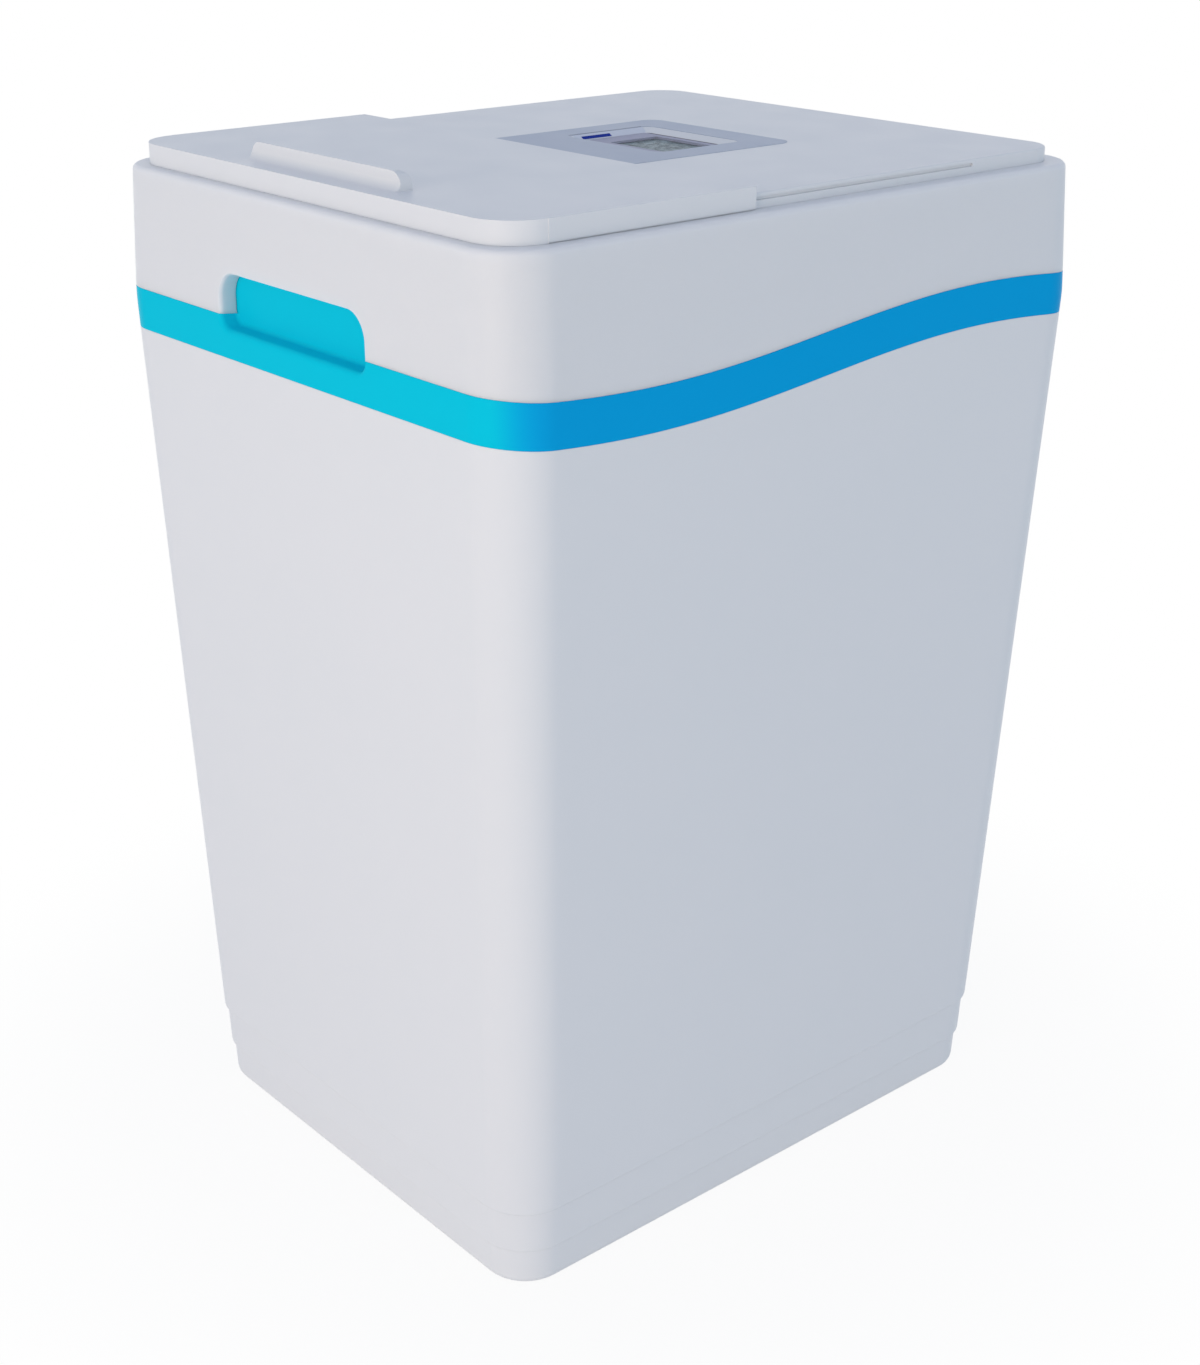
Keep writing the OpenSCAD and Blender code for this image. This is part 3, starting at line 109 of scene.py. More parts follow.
def wave_ring(shift, inset):
    """Plan outline that rises and falls with the wave and stays on the tapered wall."""
    radii = (corner_radius - inset, corner_radius - inset)
    return (lambda y: wave_height(y) + shift, lambda h: cabinet_width(h) - 2 * inset,
            lambda h: cabinet_depth(h) - 2 * inset, cabinet_middle, radii)


def spread(share, half, radius):
    """Distance from the middle, for a share that is 1 where a corner starts and 2 where it ends."""
    size = abs(share)
    reach = size * (half - radius) if size <= 1 else half - radius + (size - 1) * radius
    return math.copysign(reach, share)


def round_corners(bm, verts, radius, segments):
    """Rounds corners of a flat outline."""
    bmesh.ops.bevel(bm, geom=verts, offset=radius, segments=segments, profile=0.5, affect="VERTICES",
                    material=-1)


def loft(bm, rings, cap_first=False, cap_last=False, closed=False, side_cuts=40):
    """Skin over a row of plan outlines. Returns the edges of each outline."""
    shares = bm.verts.layers.float_vector.new("shares")
    corners = bmesh.ops.create_grid(bm, x_segments=1, y_segments=1, size=2)["verts"]
    round_corners(bm, corners, 1, 14)
    bmesh.ops.delete(bm, geom=bm.faces[:], context="FACES_ONLY")
    # The straight sides are 2 long here, and the edges in the corners are far shorter.
    sides = [e for e in bm.edges if e.calc_length() > 1.9
             and abs(e.verts[0].co.x - e.verts[1].co.x) < weld_distance]
    bmesh.ops.subdivide_edges(bm, edges=sides, cuts=side_cuts)
    for vert in bm.verts:
        vert[shares] = vert.co
    outlines = [bm.edges[:]]
    for number, (height, width, depth, middle, radii) in enumerate(rings + rings[:1] * closed):
        if number:
            grown = bmesh.ops.extrude_edge_only(bm, edges=outlines[-1])["geom"]
            fresh = {g for g in grown if isinstance(g, bmesh.types.BMVert)}
            outlines.append([g for g in grown if isinstance(g, bmesh.types.BMEdge) and fresh >= set(g.verts)])
        for vert in {v for e in outlines[-1] for v in e.verts}:
            z = height(0)
            radius = radii[vert[shares].y > 0]
            for _ in range(3):
                y = middle(z) + spread(vert[shares].y, depth(z) / 2, radius)
                z = height(y)
            vert.co = spread(vert[shares].x, width(z) / 2, radius), y, z
    if cap_first:
        bmesh.ops.edgeloop_fill(bm, edges=outlines[0])
    if cap_last:
        bmesh.ops.edgeloop_fill(bm, edges=outlines[-1])
    if closed:
        ends = {v for e in outlines[0] + outlines[-1] for v in e.verts}
        bmesh.ops.remove_doubles(bm, verts=list(ends), dist=weld_distance)
    bmesh.ops.recalc_face_normals(bm, faces=bm.faces)
    return outlines


def round_edges(bm, edges, radius, segments):
    """Rounds those of the edges that are still there."""
    alive = [e for e in edges if e.is_valid]
    bmesh.ops.bevel(bm, geom=alive, offset=radius, segments=segments, profile=0.5,
                    affect="EDGES", material=-1, clamp_overlap=True)


def linear(hex_code):
    """Linear colour of an sRGB hex value."""
    parts = [int(hex_code[i:i + 2], 16) / 255 for i in (1, 3, 5)]
    return tuple(c / 12.92 if c <= 0.04045 else ((c + 0.055) / 1.055) ** 2.4 for c in parts) + (1,)


def add_node(tree, kind, settings=None, **links):
    """Adds a node. A link's value is a plain value or another node's output socket."""
    made = tree.nodes.new(kind)
    for name, value in (settings or {}).items():
        setattr(made, name, value)
    for name, value in links.items():
        key = name.replace("_", " ")
        socket = made.inputs[int(key[3:])] if key.startswith("in ") else made.inputs[key]
        if isinstance(value, bpy.types.NodeSocket):
            tree.links.new(value, socket)
        else:
            socket.default_value = value
    return made


def blend(tree, factor, *shades):
    """Colour that runs with the factor between two shades: hex values, plain colours or outputs."""
    first, second = (linear(shade) if isinstance(shade, str) else shade for shade in shades)
    return add_node(tree, "ShaderNodeMix", {"data_type": "RGBA"}, Factor=factor, in_6=first,
                    in_7=second).outputs[2]


def surface(tree, **settings):
    """Ends a material with its shader."""
    shader = add_node(tree, "ShaderNodeBsdfPrincipled", **settings)
    add_node(tree, "ShaderNodeOutputMaterial", Surface=shader.outputs["BSDF"])


def new_material(name):
    """New material with an empty node tree, and the output that gives the place on the part."""
    material = bpy.data.materials.new(name)
    material.use_nodes = True
    tree = material.node_tree
    tree.nodes.clear()
    place = add_node(tree, "ShaderNodeTexCoord").outputs["Object"]
    return material, tree, place


def per_metre(size_mm):
    """Pattern scale that gives one feature each size_mm millimetres."""
    return 1000 / size_mm


def moulded_plastic(name, shade, second_shade, roughness, grain_mm, grain_depth, ior=1.49, gloss=0.5,
                    milkiness=0.0):
    """Injection-moulded plastic: a fine spark-eroded grain, faint flow clouds in the colour, and
    a sheen that changes a little from place to place. Milkiness lets light spread inside."""
    material, tree, place = new_material(name)
    clouds = add_node(tree, "ShaderNodeTexNoise", Vector=place, Scale=per_metre(90), Detail=2.0)
    colour = blend(tree, clouds.outputs["Fac"], shade, second_shade)
    wear = add_node(tree, "ShaderNodeTexNoise", Vector=place, Scale=per_metre(35), Detail=3.0)
    sheen = add_node(tree, "ShaderNodeMapRange", Value=wear.outputs["Fac"], From_Min=0.3, From_Max=0.7,
                     To_Min=roughness - 0.04, To_Max=roughness + 0.04)
    grain = add_node(tree, "ShaderNodeTexNoise", Vector=place, Scale=per_metre(grain_mm), Detail=2.0)
    bump = add_node(tree, "ShaderNodeBump", Height=grain.outputs["Fac"], Distance=grain_depth * mm,
                    Strength=0.5)
    surface(tree, Base_Color=colour, Roughness=sheen.outputs["Result"], IOR=ior, Specular_IOR_Level=gloss,
            Subsurface_Weight=milkiness, Subsurface_Radius=(1, 1, 1), Subsurface_Scale=8 * mm,
            Normal=bump.outputs["Normal"])
    return material


# White polypropylene with a fine grain: off-white, satin, with a soft highlight on its corners.
# The grain of a real moulding is finer than a pixel, so it is drawn at 1.2 mm.
white_polypropylene = moulded_plastic("white_polypropylene", "#e3e4e8", "#e1e3e7", 0.34, 1.2, 0.002,
                                      gloss=0.12)


def make_piece(bm, name, material, body, slot, *nodes):
    """Turns a bmesh into a piece of the part, with smooth fillets and crisp edges."""
    bmesh.ops.remove_doubles(bm, verts=bm.verts, dist=weld_distance)
    bmesh.ops.recalc_face_normals(bm, faces=bm.faces)
    for face in bm.faces:
        face.smooth = True
    for edge in bm.edges:
        edge.smooth = edge.calc_face_angle(0) < math.radians(32)
    mesh = bpy.data.meshes.new(name)
    bm.to_mesh(mesh)
    bm.free()
    mesh.materials.append(material)
    piece = bpy.data.objects.new(name, mesh)
    bpy.context.scene.collection.objects.link(piece)
    weighted = piece.modifiers.new("even_shading", "WEIGHTED_NORMAL")
    weighted.keep_sharp = True
    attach(piece, body)
    if nodes:
        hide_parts(*nodes)
    return piece


tub = bmesh.new()
inside_step = step_height + floor_thickness
foot_bottom, foot_top, step_bottom, step_top, side_bottom, rim_outer, _, _, _, inside_floor = loft(tub, [
    cabinet_ring(0, 2 * step_inset), cabinet_ring(foot_height, 2 * step_inset),
    cabinet_ring(foot_height, step_inset), cabinet_ring(step_height, step_inset),
    cabinet_ring(step_height, 0), wave_ring(-band_height, 0), wave_ring(-band_height, wall),
    cabinet_ring(inside_step, wall), cabinet_ring(inside_step, 2 * step_inset + wall),
    cabinet_ring(floor_thickness, 2 * step_inset + wall)], cap_first=True, cap_last=True)
round_edges(tub, foot_bottom, foot_edge, 5)
round_edges(tub, inside_floor, 8 * mm, 4)
round_edges(tub, rim_outer, seam_edge, 2)
round_edges(tub, step_bottom + side_bottom, step_edge, 4)
round_edges(tub, foot_top + step_top, 0.3 * mm, 2)
make_piece(tub, "tank_body_moulding", white_polypropylene, "cabinet", "white_plastic", "tank_body")

# ---- Blue band ----
# A ring of gloss blue plastic that joins the tank to the collar and hides the seam between them.
# Tongues inside it locate both mouldings, and its front is drawn in to make the grip pocket.

tongue_reach = 8 * mm
tongue_thickness = 2.5 * mm
tongue_gap = 0.2 * mm
pocket_width = 150 * mm
pocket_floor = 573.5 * mm
pocket_top = 607 * mm
pocket_back = -223 * mm
pocket_wall = 2.5 * mm
pocket_upper_radius = 16 * mm
pocket_lower_radius = 8 * mm
pocket_back_radius = 2.5 * mm
pocket_mouth = 3.2 * mm
pocket_skin = -235.3 * mm
front_clear = -240 * mm
wave_cut_front = -236 * mm
band_pocket_front = -234 * mm
collar_pocket_front = -233 * mm


def push(bm, faces, vec):
    """Extrudes faces into a closed solid and returns the moved vertices."""
    pushed = bmesh.ops.extrude_face_region(bm, geom=faces, use_keep_orig=True)["geom"]
    moved = [g for g in pushed if isinstance(g, bmesh.types.BMVert)]
    bmesh.ops.translate(bm, verts=moved, vec=vec)
    return moved


def upright_block(bm, half_width, low, high, near, far, upper_radius, lower_radius):
    """Solid with an upright outline, round at its corners, pushed from near to far along Y."""
    verts = [bm.verts.new((x, near, z)) for x, z in
             ((-half_width, low), (half_width, low), (half_width, high), (-half_width, high))]
    bm.faces.new(verts)
    before = set(bm.verts) - set(verts)
    round_corners(bm, verts[2:], upper_radius, 10)
    round_corners(bm, verts[:2], lower_radius, 8)
    front = [f for f in bm.faces if not before & set(f.verts)]
    push(bm, front, (0, far - near, 0))


def pocket_block(grow, near, far):
    """Solid with the outline of the grip pocket, larger all round by grow."""
    bm = bmesh.new()
    upright_block(bm, pocket_width / 2 + grow, pocket_floor - grow, pocket_top + grow, near, far,
                  pocket_upper_radius + grow, pocket_lower_radius + grow)
    return bm


def carve(bm, tool, operation):
    """Joins or cuts a second solid into the first one."""
    holders = []
    for source in (bm, tool):
        bmesh.ops.recalc_face_normals(source, faces=source.faces)
        mesh = bpy.data.meshes.new("carving")
        source.to_mesh(mesh)
        holder = bpy.data.objects.new("carving", mesh)
        bpy.context.scene.collection.objects.link(holder)
        holders.append(holder)
    blank, cutter = holders
    step = blank.modifiers.new("carve", "BOOLEAN")
    step.operation = operation
    step.solver = "EXACT"
    step.object = cutter
    evaluated = blank.evaluated_get(bpy.context.evaluated_depsgraph_get())
    result = evaluated.to_mesh()
    bm.clear()
    bm.from_mesh(result)
    evaluated.to_mesh_clear()
    for holder in holders:
        mesh = holder.data
        bpy.data.objects.remove(holder)
        bpy.data.meshes.remove(mesh)
    tool.free()
    bmesh.ops.remove_doubles(bm, verts=bm.verts, dist=weld_distance)


def cut_at_wave(bm, keep_above):
    """Cuts a small solid near the front along the wave, which is nearly straight there."""
    back = pocket_back + pocket_wall
    start = Vector((0, wave_cut_front, wave_height(wave_cut_front)))
    along = Vector((0, back, wave_height(back))) - start
    normal = Vector((1, 0, 0)).cross(along)
    cut = bmesh.ops.bisect_plane(bm, geom=bm.verts[:] + bm.edges[:] + bm.faces[:], plane_co=start,
                                 plane_no=normal, clear_inner=keep_above, clear_outer=not keep_above)
    rim = [g for g in cut["geom_cut"] if isinstance(g, bmesh.types.BMEdge)]
    bmesh.ops.edgeloop_fill(bm, edges=rim)


def opening_cutter(width, low, high, lower_radius, upper_radius, skin, far, mouth_radius, back_radius=0.0):
    """Solid that cuts an opening into an upright wall, rounded over at its mouth and along its back."""
    inward = math.copysign(1, far - skin)
    depth = abs(far - skin)
    clearance = 15 * mm
    stations = [(-clearance, mouth_radius)]
    quarter_turn = [math.radians(15 * turn) for turn in range(7)]
    for angle in quarter_turn:
        stations.append((mouth_radius * (1 - math.cos(angle)), mouth_radius * (1 - math.sin(angle))))
    if back_radius:
        for angle in quarter_turn:
            along = depth - back_radius * (1 - math.sin(angle))
            stations.append((along, -back_radius * (1 - math.cos(angle))))
    else:
        stations.append((depth, 0))
    bm = bmesh.new()
    loft(bm, [flat_ring(width + 2 * grow, high - low + 2 * grow, lower_radius + grow,
                        -(skin + inward * along), upper_radius + grow) for along, grow in stations],
         cap_first=True, cap_last=True)
    bmesh.ops.rotate(bm, verts=bm.verts, matrix=Matrix.Rotation(math.radians(90), 3, "X"))
    bmesh.ops.translate(bm, verts=bm.verts, vec=(0, 0, (low + high) / 2))
    return bm


def pocket_cutter(far, back_radius=0.0):
    """Solid that cuts the grip pocket from the front to the distance far."""
    return opening_cutter(pocket_width, pocket_floor, pocket_top, pocket_lower_radius, pocket_upper_radius,
                          pocket_skin, far, pocket_mouth, back_radius)


band = bmesh.new()
inner_ledge = wall + tongue_gap
tongue_inset = wall + tongue_thickness
tongue_low, tongue_high = -band_height - tongue_reach, tongue_reach
band_steps = 8
band_rings = loft(band, [
    wave_ring(tongue_low, tongue_inset), wave_ring(tongue_low, inner_ledge),
    wave_ring(-band_height, inner_ledge),
    *(wave_ring(-band_height * (1 - i / band_steps), 0) for i in range(band_steps + 1)),
    wave_ring(0, inner_ledge), wave_ring(tongue_high, inner_ledge), wave_ring(tongue_high, tongue_inset)],
    closed=True)
outer_low, outer_high = band_rings[3], band_rings[3 + band_steps]
round_edges(band, outer_low + outer_high, seam_edge, 2)
collar_room = pocket_block(pocket_wall + tongue_gap, front_clear, pocket_back - 0.3 * mm)
cut_at_wave(collar_room, keep_above=True)
carve(band, collar_room, "DIFFERENCE")
pocket_sides = pocket_block(pocket_wall, band_pocket_front, pocket_back)
cut_at_wave(pocket_sides, keep_above=False)
pocket_plate = pocket_block(pocket_wall, pocket_back - 0.01 * mm, pocket_back + pocket_wall)
carve(band, pocket_plate, "UNION")
carve(band, pocket_sides, "UNION")
carve(band, pocket_cutter(pocket_back, pocket_back_radius), "DIFFERENCE")

# Gloss blue plastic: a strong cyan in front, with painted shade that turns it deeper blue towards
# the sides of the ring, and a smooth, slightly wavy moulded gloss.
blue_gloss, tree, place = new_material("blue_gloss_plastic")
across = add_node(tree, "ShaderNodeSeparateXYZ", Vector=place).outputs["X"]
from_middle = add_node(tree, "ShaderNodeMath", {"operation": "ABSOLUTE"}, in_0=across)
# Painted shade: the colour runs from cyan to a deeper blue towards the sides of the ring.
side_shade = add_node(tree, "ShaderNodeMapRange", {"interpolation_type": "SMOOTHSTEP"},
                        Value=from_middle.outputs[0], From_Min=182 * mm, From_Max=202 * mm)
colour = blend(tree, side_shade.outputs["Result"], "#0bc7e2", "#0ca4e3")
ripple = add_node(tree, "ShaderNodeTexNoise", Vector=place, Scale=per_metre(14), Detail=1.0)
sheen = add_node(tree, "ShaderNodeMapRange", Value=ripple.outputs["Fac"], To_Min=0.18, To_Max=0.26)
bump = add_node(tree, "ShaderNodeBump", Height=ripple.outputs["Fac"], Distance=0.02 * mm, Strength=0.3)
surface(tree, Base_Color=colour, Roughness=sheen.outputs["Result"], IOR=1.5, Specular_IOR_Level=0.006,
        Normal=bump.outputs["Normal"])
make_piece(band, "blue_band_moulding", blue_gloss, "cabinet", "blue_plastic", "blue_band")

# ---- Collar ----
# The white collar closes the top of the tank with a shoulder ledge that carries lid and deck.
# It is moulded in one with the upper half of the grip pocket and the frame of a window at the rear.

ledge_thickness = 3.5 * mm
opening_width = 352 * mm
opening_depth = 421 * mm
opening_radius = 12 * mm
window_half = 98 * mm
window_low = 598 * mm
window_high = 644 * mm
window_radius = 8 * mm
window_mouth = 1.8 * mm
window_skin = 235 * mm
frame_radius = 10.5 * mm
frame_rear = 232.5 * mm
panel_face = 225.5 * mm
collar_bend = 625 * mm
collar_edge = 3.6 * mm

collar = bmesh.new()
ledge_under = shoulder_height - ledge_thickness
_, _, _, outer_low, _, outer_top, opening_top, _, _ = loft(collar, [
    cabinet_ring(ledge_under, wall), cabinet_ring(collar_bend, wall), wave_ring(0, wall), wave_ring(0, 0),
    cabinet_ring(collar_bend, 0), cabinet_ring(shoulder_height, 0),
    flat_ring(opening_width, opening_depth, opening_radius, shoulder_height),
    flat_ring(opening_width, opening_depth, opening_radius, ledge_under)], closed=True)
round_edges(collar, outer_low, seam_edge, 2)
round_edges(collar, outer_top, collar_edge, 8)
round_edges(collar, opening_top, 1 * mm, 3)
pocket_sides = pocket_block(pocket_wall, collar_pocket_front, pocket_back - 0.5 * mm)
cut_at_wave(pocket_sides, keep_above=True)
carve(collar, pocket_sides, "UNION")
carve(collar, pocket_cutter(pocket_back + mm), "DIFFERENCE")
window_frame = bmesh.new()
upright_block(window_frame, window_half + pocket_wall, window_low - pocket_wall, window_high + pocket_wall,
              panel_face, frame_rear, frame_radius, frame_radius)
carve(collar, window_frame, "UNION")
window = opening_cutter(2 * window_half, window_low, window_high, window_radius, window_radius, window_skin,
                        panel_face - mm, window_mouth)
carve(collar, window, "DIFFERENCE")

# Milky white polypropylene: the same resin with less pigment, so that light spreads a little inside it.
milky_polypropylene = moulded_plastic("milky_white_polypropylene", "#e4e5ea", "#e2e4e9", 0.34, 1.2, 0.002,
                                      gloss=0.12, milkiness=0.6)
make_piece(collar, "collar_moulding", milky_polypropylene, "cabinet", "white_plastic", "upper_shell")

# ---- Salt grid and brine well ----
# A slotted platform of natural polypropylene carries the salt clear of the brine. Beside it stands the
# brine well, a tube with a lift-out cap, with the float, its rod and the air-check valve inside.

# Natural polypropylene: uncoloured, a warm white with a satin grain.
natural_polypropylene = moulded_plastic("natural_polypropylene", "#e6e4da", "#dddbcf", 0.40, 1.2, 0.003)

# Black nylon filled with short glass fibre: dark, with a dull sheen and a slightly open skin.
black_nylon = moulded_plastic("glass_filled_nylon", "#212326", "#2a2c30", 0.46, 0.9, 0.006)


def dress(material, *nodes):
    """Gives carried-over solids their finish."""
    for name in nodes:
        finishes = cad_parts[name].data.materials
        finishes.clear()
        finishes.append(material)


dress(natural_polypropylene, "salt_grid", "salt_guard", "brine_well", "float_rod", "brine_float",
      "brine_line")
dress(black_nylon, "brine_valve")
dress(blue_gloss, "brine_well_cap")

# ---- Resin vessel ----
# The pressure vessel is a blow-moulded liner wound with glass fibre and set with resin, in a foot boot.
# It holds a bed of softening beads and a riser tube with a slotted basket at each end.

vessel_axis = 105 * mm
winding_pitch = 9 * mm
winding_lead = 55 * mm

# Wound glass fibre: two sets of slanting rovings that cross, under a clear glossy resin.
glass_winding, tree, place = new_material("wound_glass_fibre")
centred = add_node(tree, "ShaderNodeMapping", Vector=place, Location=(0, -vessel_axis, 0))
parts = add_node(tree, "ShaderNodeSeparateXYZ", Vector=centred.outputs[0])
turn = add_node(tree, "ShaderNodeMath", {"operation": "ARCTAN2"}, in_0=parts.outputs["Y"],
                in_1=parts.outputs["X"])
ridges = []
for lean in (-winding_lead, winding_lead):
    climb = add_node(tree, "ShaderNodeMath", {"operation": "MULTIPLY_ADD"}, in_0=turn.outputs[0],
                     in_1=lean, in_2=parts.outputs["Z"])
    phase = add_node(tree, "ShaderNodeMath", {"operation": "MULTIPLY"}, in_0=climb.outputs[0],
                     in_1=2 * math.pi / winding_pitch)
    ridges.append(add_node(tree, "ShaderNodeMath", {"operation": "SINE"}, in_0=phase.outputs[0]).outputs[0])
crossed = add_node(tree, "ShaderNodeMath", {"operation": "MAXIMUM"}, in_0=ridges[0], in_1=ridges[1])
threads = add_node(tree, "ShaderNodeTexNoise", Vector=place, Scale=per_metre(2), Detail=4.0)
height = add_node(tree, "ShaderNodeMath", {"operation": "MULTIPLY_ADD"}, in_0=threads.outputs["Fac"],
                  in_1=0.5, in_2=crossed.outputs[0])
colour = blend(tree, height.outputs[0], "#2c3c4c", "#4d6478")
bump = add_node(tree, "ShaderNodeBump", Height=height.outputs[0], Distance=0.25 * mm, Strength=0.6)
surface(tree, Base_Color=colour, Roughness=0.38, IOR=1.55, Coat_Weight=0.5, Coat_Roughness=0.1,
        Normal=bump.outputs["Normal"])
dress(glass_winding, "resin_vessel")

# Ion exchange beads: wet amber grains of 0.6 mm, drawn at 3 mm so that they show.
amber_beads, tree, place = new_material("amber_resin_beads")
grains = add_node(tree, "ShaderNodeTexVoronoi", Vector=place, Scale=per_metre(3))
tint = add_node(tree, "ShaderNodeSeparateColor", Color=grains.outputs["Color"])
colour = blend(tree, tint.outputs["Red"], "#8a4a16", "#c9832f")
bump = add_node(tree, "ShaderNodeBump", {"invert": True}, Height=grains.outputs["Distance"],
                Distance=1.5 * mm, Strength=0.8)
surface(tree, Base_Color=colour, Roughness=0.25, IOR=1.5, Normal=bump.outputs["Normal"])
dress(amber_beads, "resin_bed")
dress(natural_polypropylene, "riser_tube", "lower_basket", "upper_basket")
dress(black_nylon, "vessel_boot")

# ---- Disc valve ----
# The control valve is a nylon body screwed into the vessel's neck on a rubber ring. Two lapped ceramic
# discs under a screwed cover send the water on its way, and a shaft turns the outer one.

# Nitrile rubber: near black and matt, with the bloom of a moulded ring.
nitrile_rubber = moulded_plastic("nitrile_rubber", "#17181a", "#202123", 0.72, 0.8, 0.01)

# Lapped alumina: ivory and dense, with a fine even polish.
lapped_alumina = moulded_plastic("lapped_alumina", "#efe8d9", "#e9e1d0", 0.14, 1.0, 0.001, ior=1.76)

# Grey ABS: mid grey with a fine grain.
grey_abs = moulded_plastic("grey_abs", "#8f959e", "#8a9099", 0.42, 1.2, 0.004)


def worked_metal(name, shade, second_shade, roughness, stretch):
    """Metal with fine tool or rolling marks that run one way."""
    material, tree, place = new_material(name)
    drawn = add_node(tree, "ShaderNodeMapping", Vector=place, Scale=stretch)
    marks = add_node(tree, "ShaderNodeTexNoise", Vector=drawn.outputs[0], Scale=per_metre(1), Detail=5.0)
    colour = blend(tree, marks.outputs["Fac"], shade, second_shade)
    sheen = add_node(tree, "ShaderNodeMapRange", Value=marks.outputs["Fac"], To_Min=roughness - 0.08,
                     To_Max=roughness + 0.08)
    bump = add_node(tree, "ShaderNodeBump", Height=marks.outputs["Fac"], Distance=0.01 * mm, Strength=0.4)
    surface(tree, Base_Color=colour, Metallic=1.0, Roughness=sheen.outputs["Result"],
            Normal=bump.outputs["Normal"])
    return material


# Zinc-plated steel: bright grey with a slight blue, drawn along the screws.
zinc_plated_steel = worked_metal("zinc_plated_steel", "#b9bec6", "#cfd4da", 0.34, (1, 0.15, 1))
dress(black_nylon, "valve_body", "drive_shaft")
dress(nitrile_rubber, "neck_o_ring")
dress(lapped_alumina, "fixed_disc", "rotary_disc")
dress(grey_abs, "valve_cover")
dress(zinc_plated_steel, "valve_cover_screws")

# ---- Valve drive ----
# A plate on four pillars carries the gear motor. Its brass pinion turns the big white gear on the valve's
# shaft, and a small sensor board reads where the gear stands.

# Turned brass: warm yellow with rings left by the tool.
turned_brass = worked_metal("turned_brass", "#b98f3c", "#d9b45e", 0.26, (0.1, 2, 0.1))

# Glass epoxy board: dark green lacquer over copper runs 2.5 mm apart that stand a little proud.
epoxy_board, tree, place = new_material("glass_epoxy_board")
runs = add_node(tree, "ShaderNodeTexBrick", {"offset": 0.37, "squash": 0.6, "squash_frequency": 3},
                Vector=place, Scale=per_metre(10), Color1=(0, 0, 0, 1), Color2=(0.1, 0.1, 0.1, 1),
                Mortar=(1, 1, 1, 1), Mortar_Size=0.06)
colour = blend(tree, runs.outputs["Color"], "#174a33", "#2b7550")
bump = add_node(tree, "ShaderNodeBump", Height=runs.outputs["Color"], Distance=0.05 * mm, Strength=0.5)
surface(tree, Base_Color=colour, Roughness=0.3, IOR=1.55, Normal=bump.outputs["Normal"])
dress(grey_abs, "drive_plate")
dress(zinc_plated_steel, "plate_pillars", "gear_motor", "motor_screws")
dress(natural_polypropylene, "drive_gear")
dress(turned_brass, "motor_pinion")
dress(epoxy_board, "position_sensor")

# ---- Pipe tails and flow meter ----
# Two threaded tails of grey plastic push into the valve body and come out through the rear panel.
# The outlet holds a spoked cage with a turbine that counts the water.

tail_offset = 42 * mm
port_height = 621 * mm
tail_bore = 12.5 * mm
tail_outer = 16.6 * mm
tail_relief = 16.2 * mm
tail_flange = 20.1 * mm
thread_pitch = 2.3 * mm
thread_depth = 1.3 * mm
thread_start = 231 * mm
tail_tip = 258 * mm


def turned(profile, x, z, steps=56):
    """Solid of revolution about a line along Y, from a closed profile of distances along Y and radii."""
    bm = bmesh.new()
    verts = [bm.verts.new((x + radius, y, z)) for y, radius in profile]
    edges = [bm.edges.new(pair) for pair in zip(verts, verts[1:] + verts[:1])]
    bmesh.ops.spin(bm, geom=verts + edges, cent=(x, 0, z), axis=(0, 1, 0), angle=2 * math.pi, steps=steps,
                   use_merge=True)
    return bm


tail_profile = [
    (160.2 * mm, tail_bore), (160.2 * mm, tail_relief - 0.8 * mm), (161 * mm, tail_relief),
    (172 * mm, tail_relief), (172 * mm, tail_flange - 0.5 * mm), (172.5 * mm, tail_flange),
    (175.5 * mm, tail_flange), (176 * mm, tail_flange - 0.5 * mm), (176 * mm, tail_relief),
    (228.5 * mm, tail_relief), (229 * mm, tail_outer - thread_depth)]
turn_count = int((tail_tip - 1.5 * mm - thread_start) / thread_pitch)
for number in range(turn_count):
    start = thread_start + number * thread_pitch
    for along, depth in ((0.15, 0), (0.4, 1), (0.6, 1), (0.85, 0)):
        tail_profile.append((start + along * thread_pitch, tail_outer - thread_depth * (1 - depth)))
tail_profile += [
    (tail_tip - 0.6 * mm, tail_outer - thread_depth), (tail_tip, tail_outer - thread_depth - 0.6 * mm),
    (tail_tip, tail_bore + 0.5 * mm), (tail_tip - 0.5 * mm, tail_bore)]
for name, side in (("inlet", 1), ("outlet", -1)):
    make_piece(turned(tail_profile, side * tail_offset, port_height), name + "_tail_moulding", grey_abs,
               "cabinet", "grey_plastic", name + "_tail")
dress(natural_polypropylene, "turbine_cage")
dress(blue_gloss, "flow_turbine")

# ---- Rear panel, drain and overflow ----
# A recessed plate closes the collar's rear window round the tails, the drain elbow and the power socket.
# The tank's overflow is a flanged fitting with a ribbed hose end, held through the wall by a nut.

jack_x = -79 * mm
overflow_x = 120 * mm
overflow_z = 480 * mm
nut_radius = 17 * mm
nut_depth = 8 * mm
nut_middle = 236.6 * mm
dress(grey_abs, "rear_panel")
socket_profile = [
    (207.5 * mm, 0.3 * mm), (207.5 * mm, 5.2 * mm), (208 * mm, 5.7 * mm), (225.5 * mm, 5.7 * mm),
    (225.5 * mm, 8.2 * mm), (225.8 * mm, 8.5 * mm), (226.9 * mm, 8.5 * mm), (227.5 * mm, 7.9 * mm),
    (227.5 * mm, 3.4 * mm), (227.1 * mm, 3 * mm), (216.5 * mm, 3 * mm), (216.5 * mm, 1 * mm),
    (225.2 * mm, 1 * mm), (225.7 * mm, 0.5 * mm), (225.7 * mm, 0.3 * mm)]
make_piece(turned(socket_profile, jack_x, port_height, 40), "power_socket", black_nylon, "cabinet",
           "dark_plastic", "power_inlet")
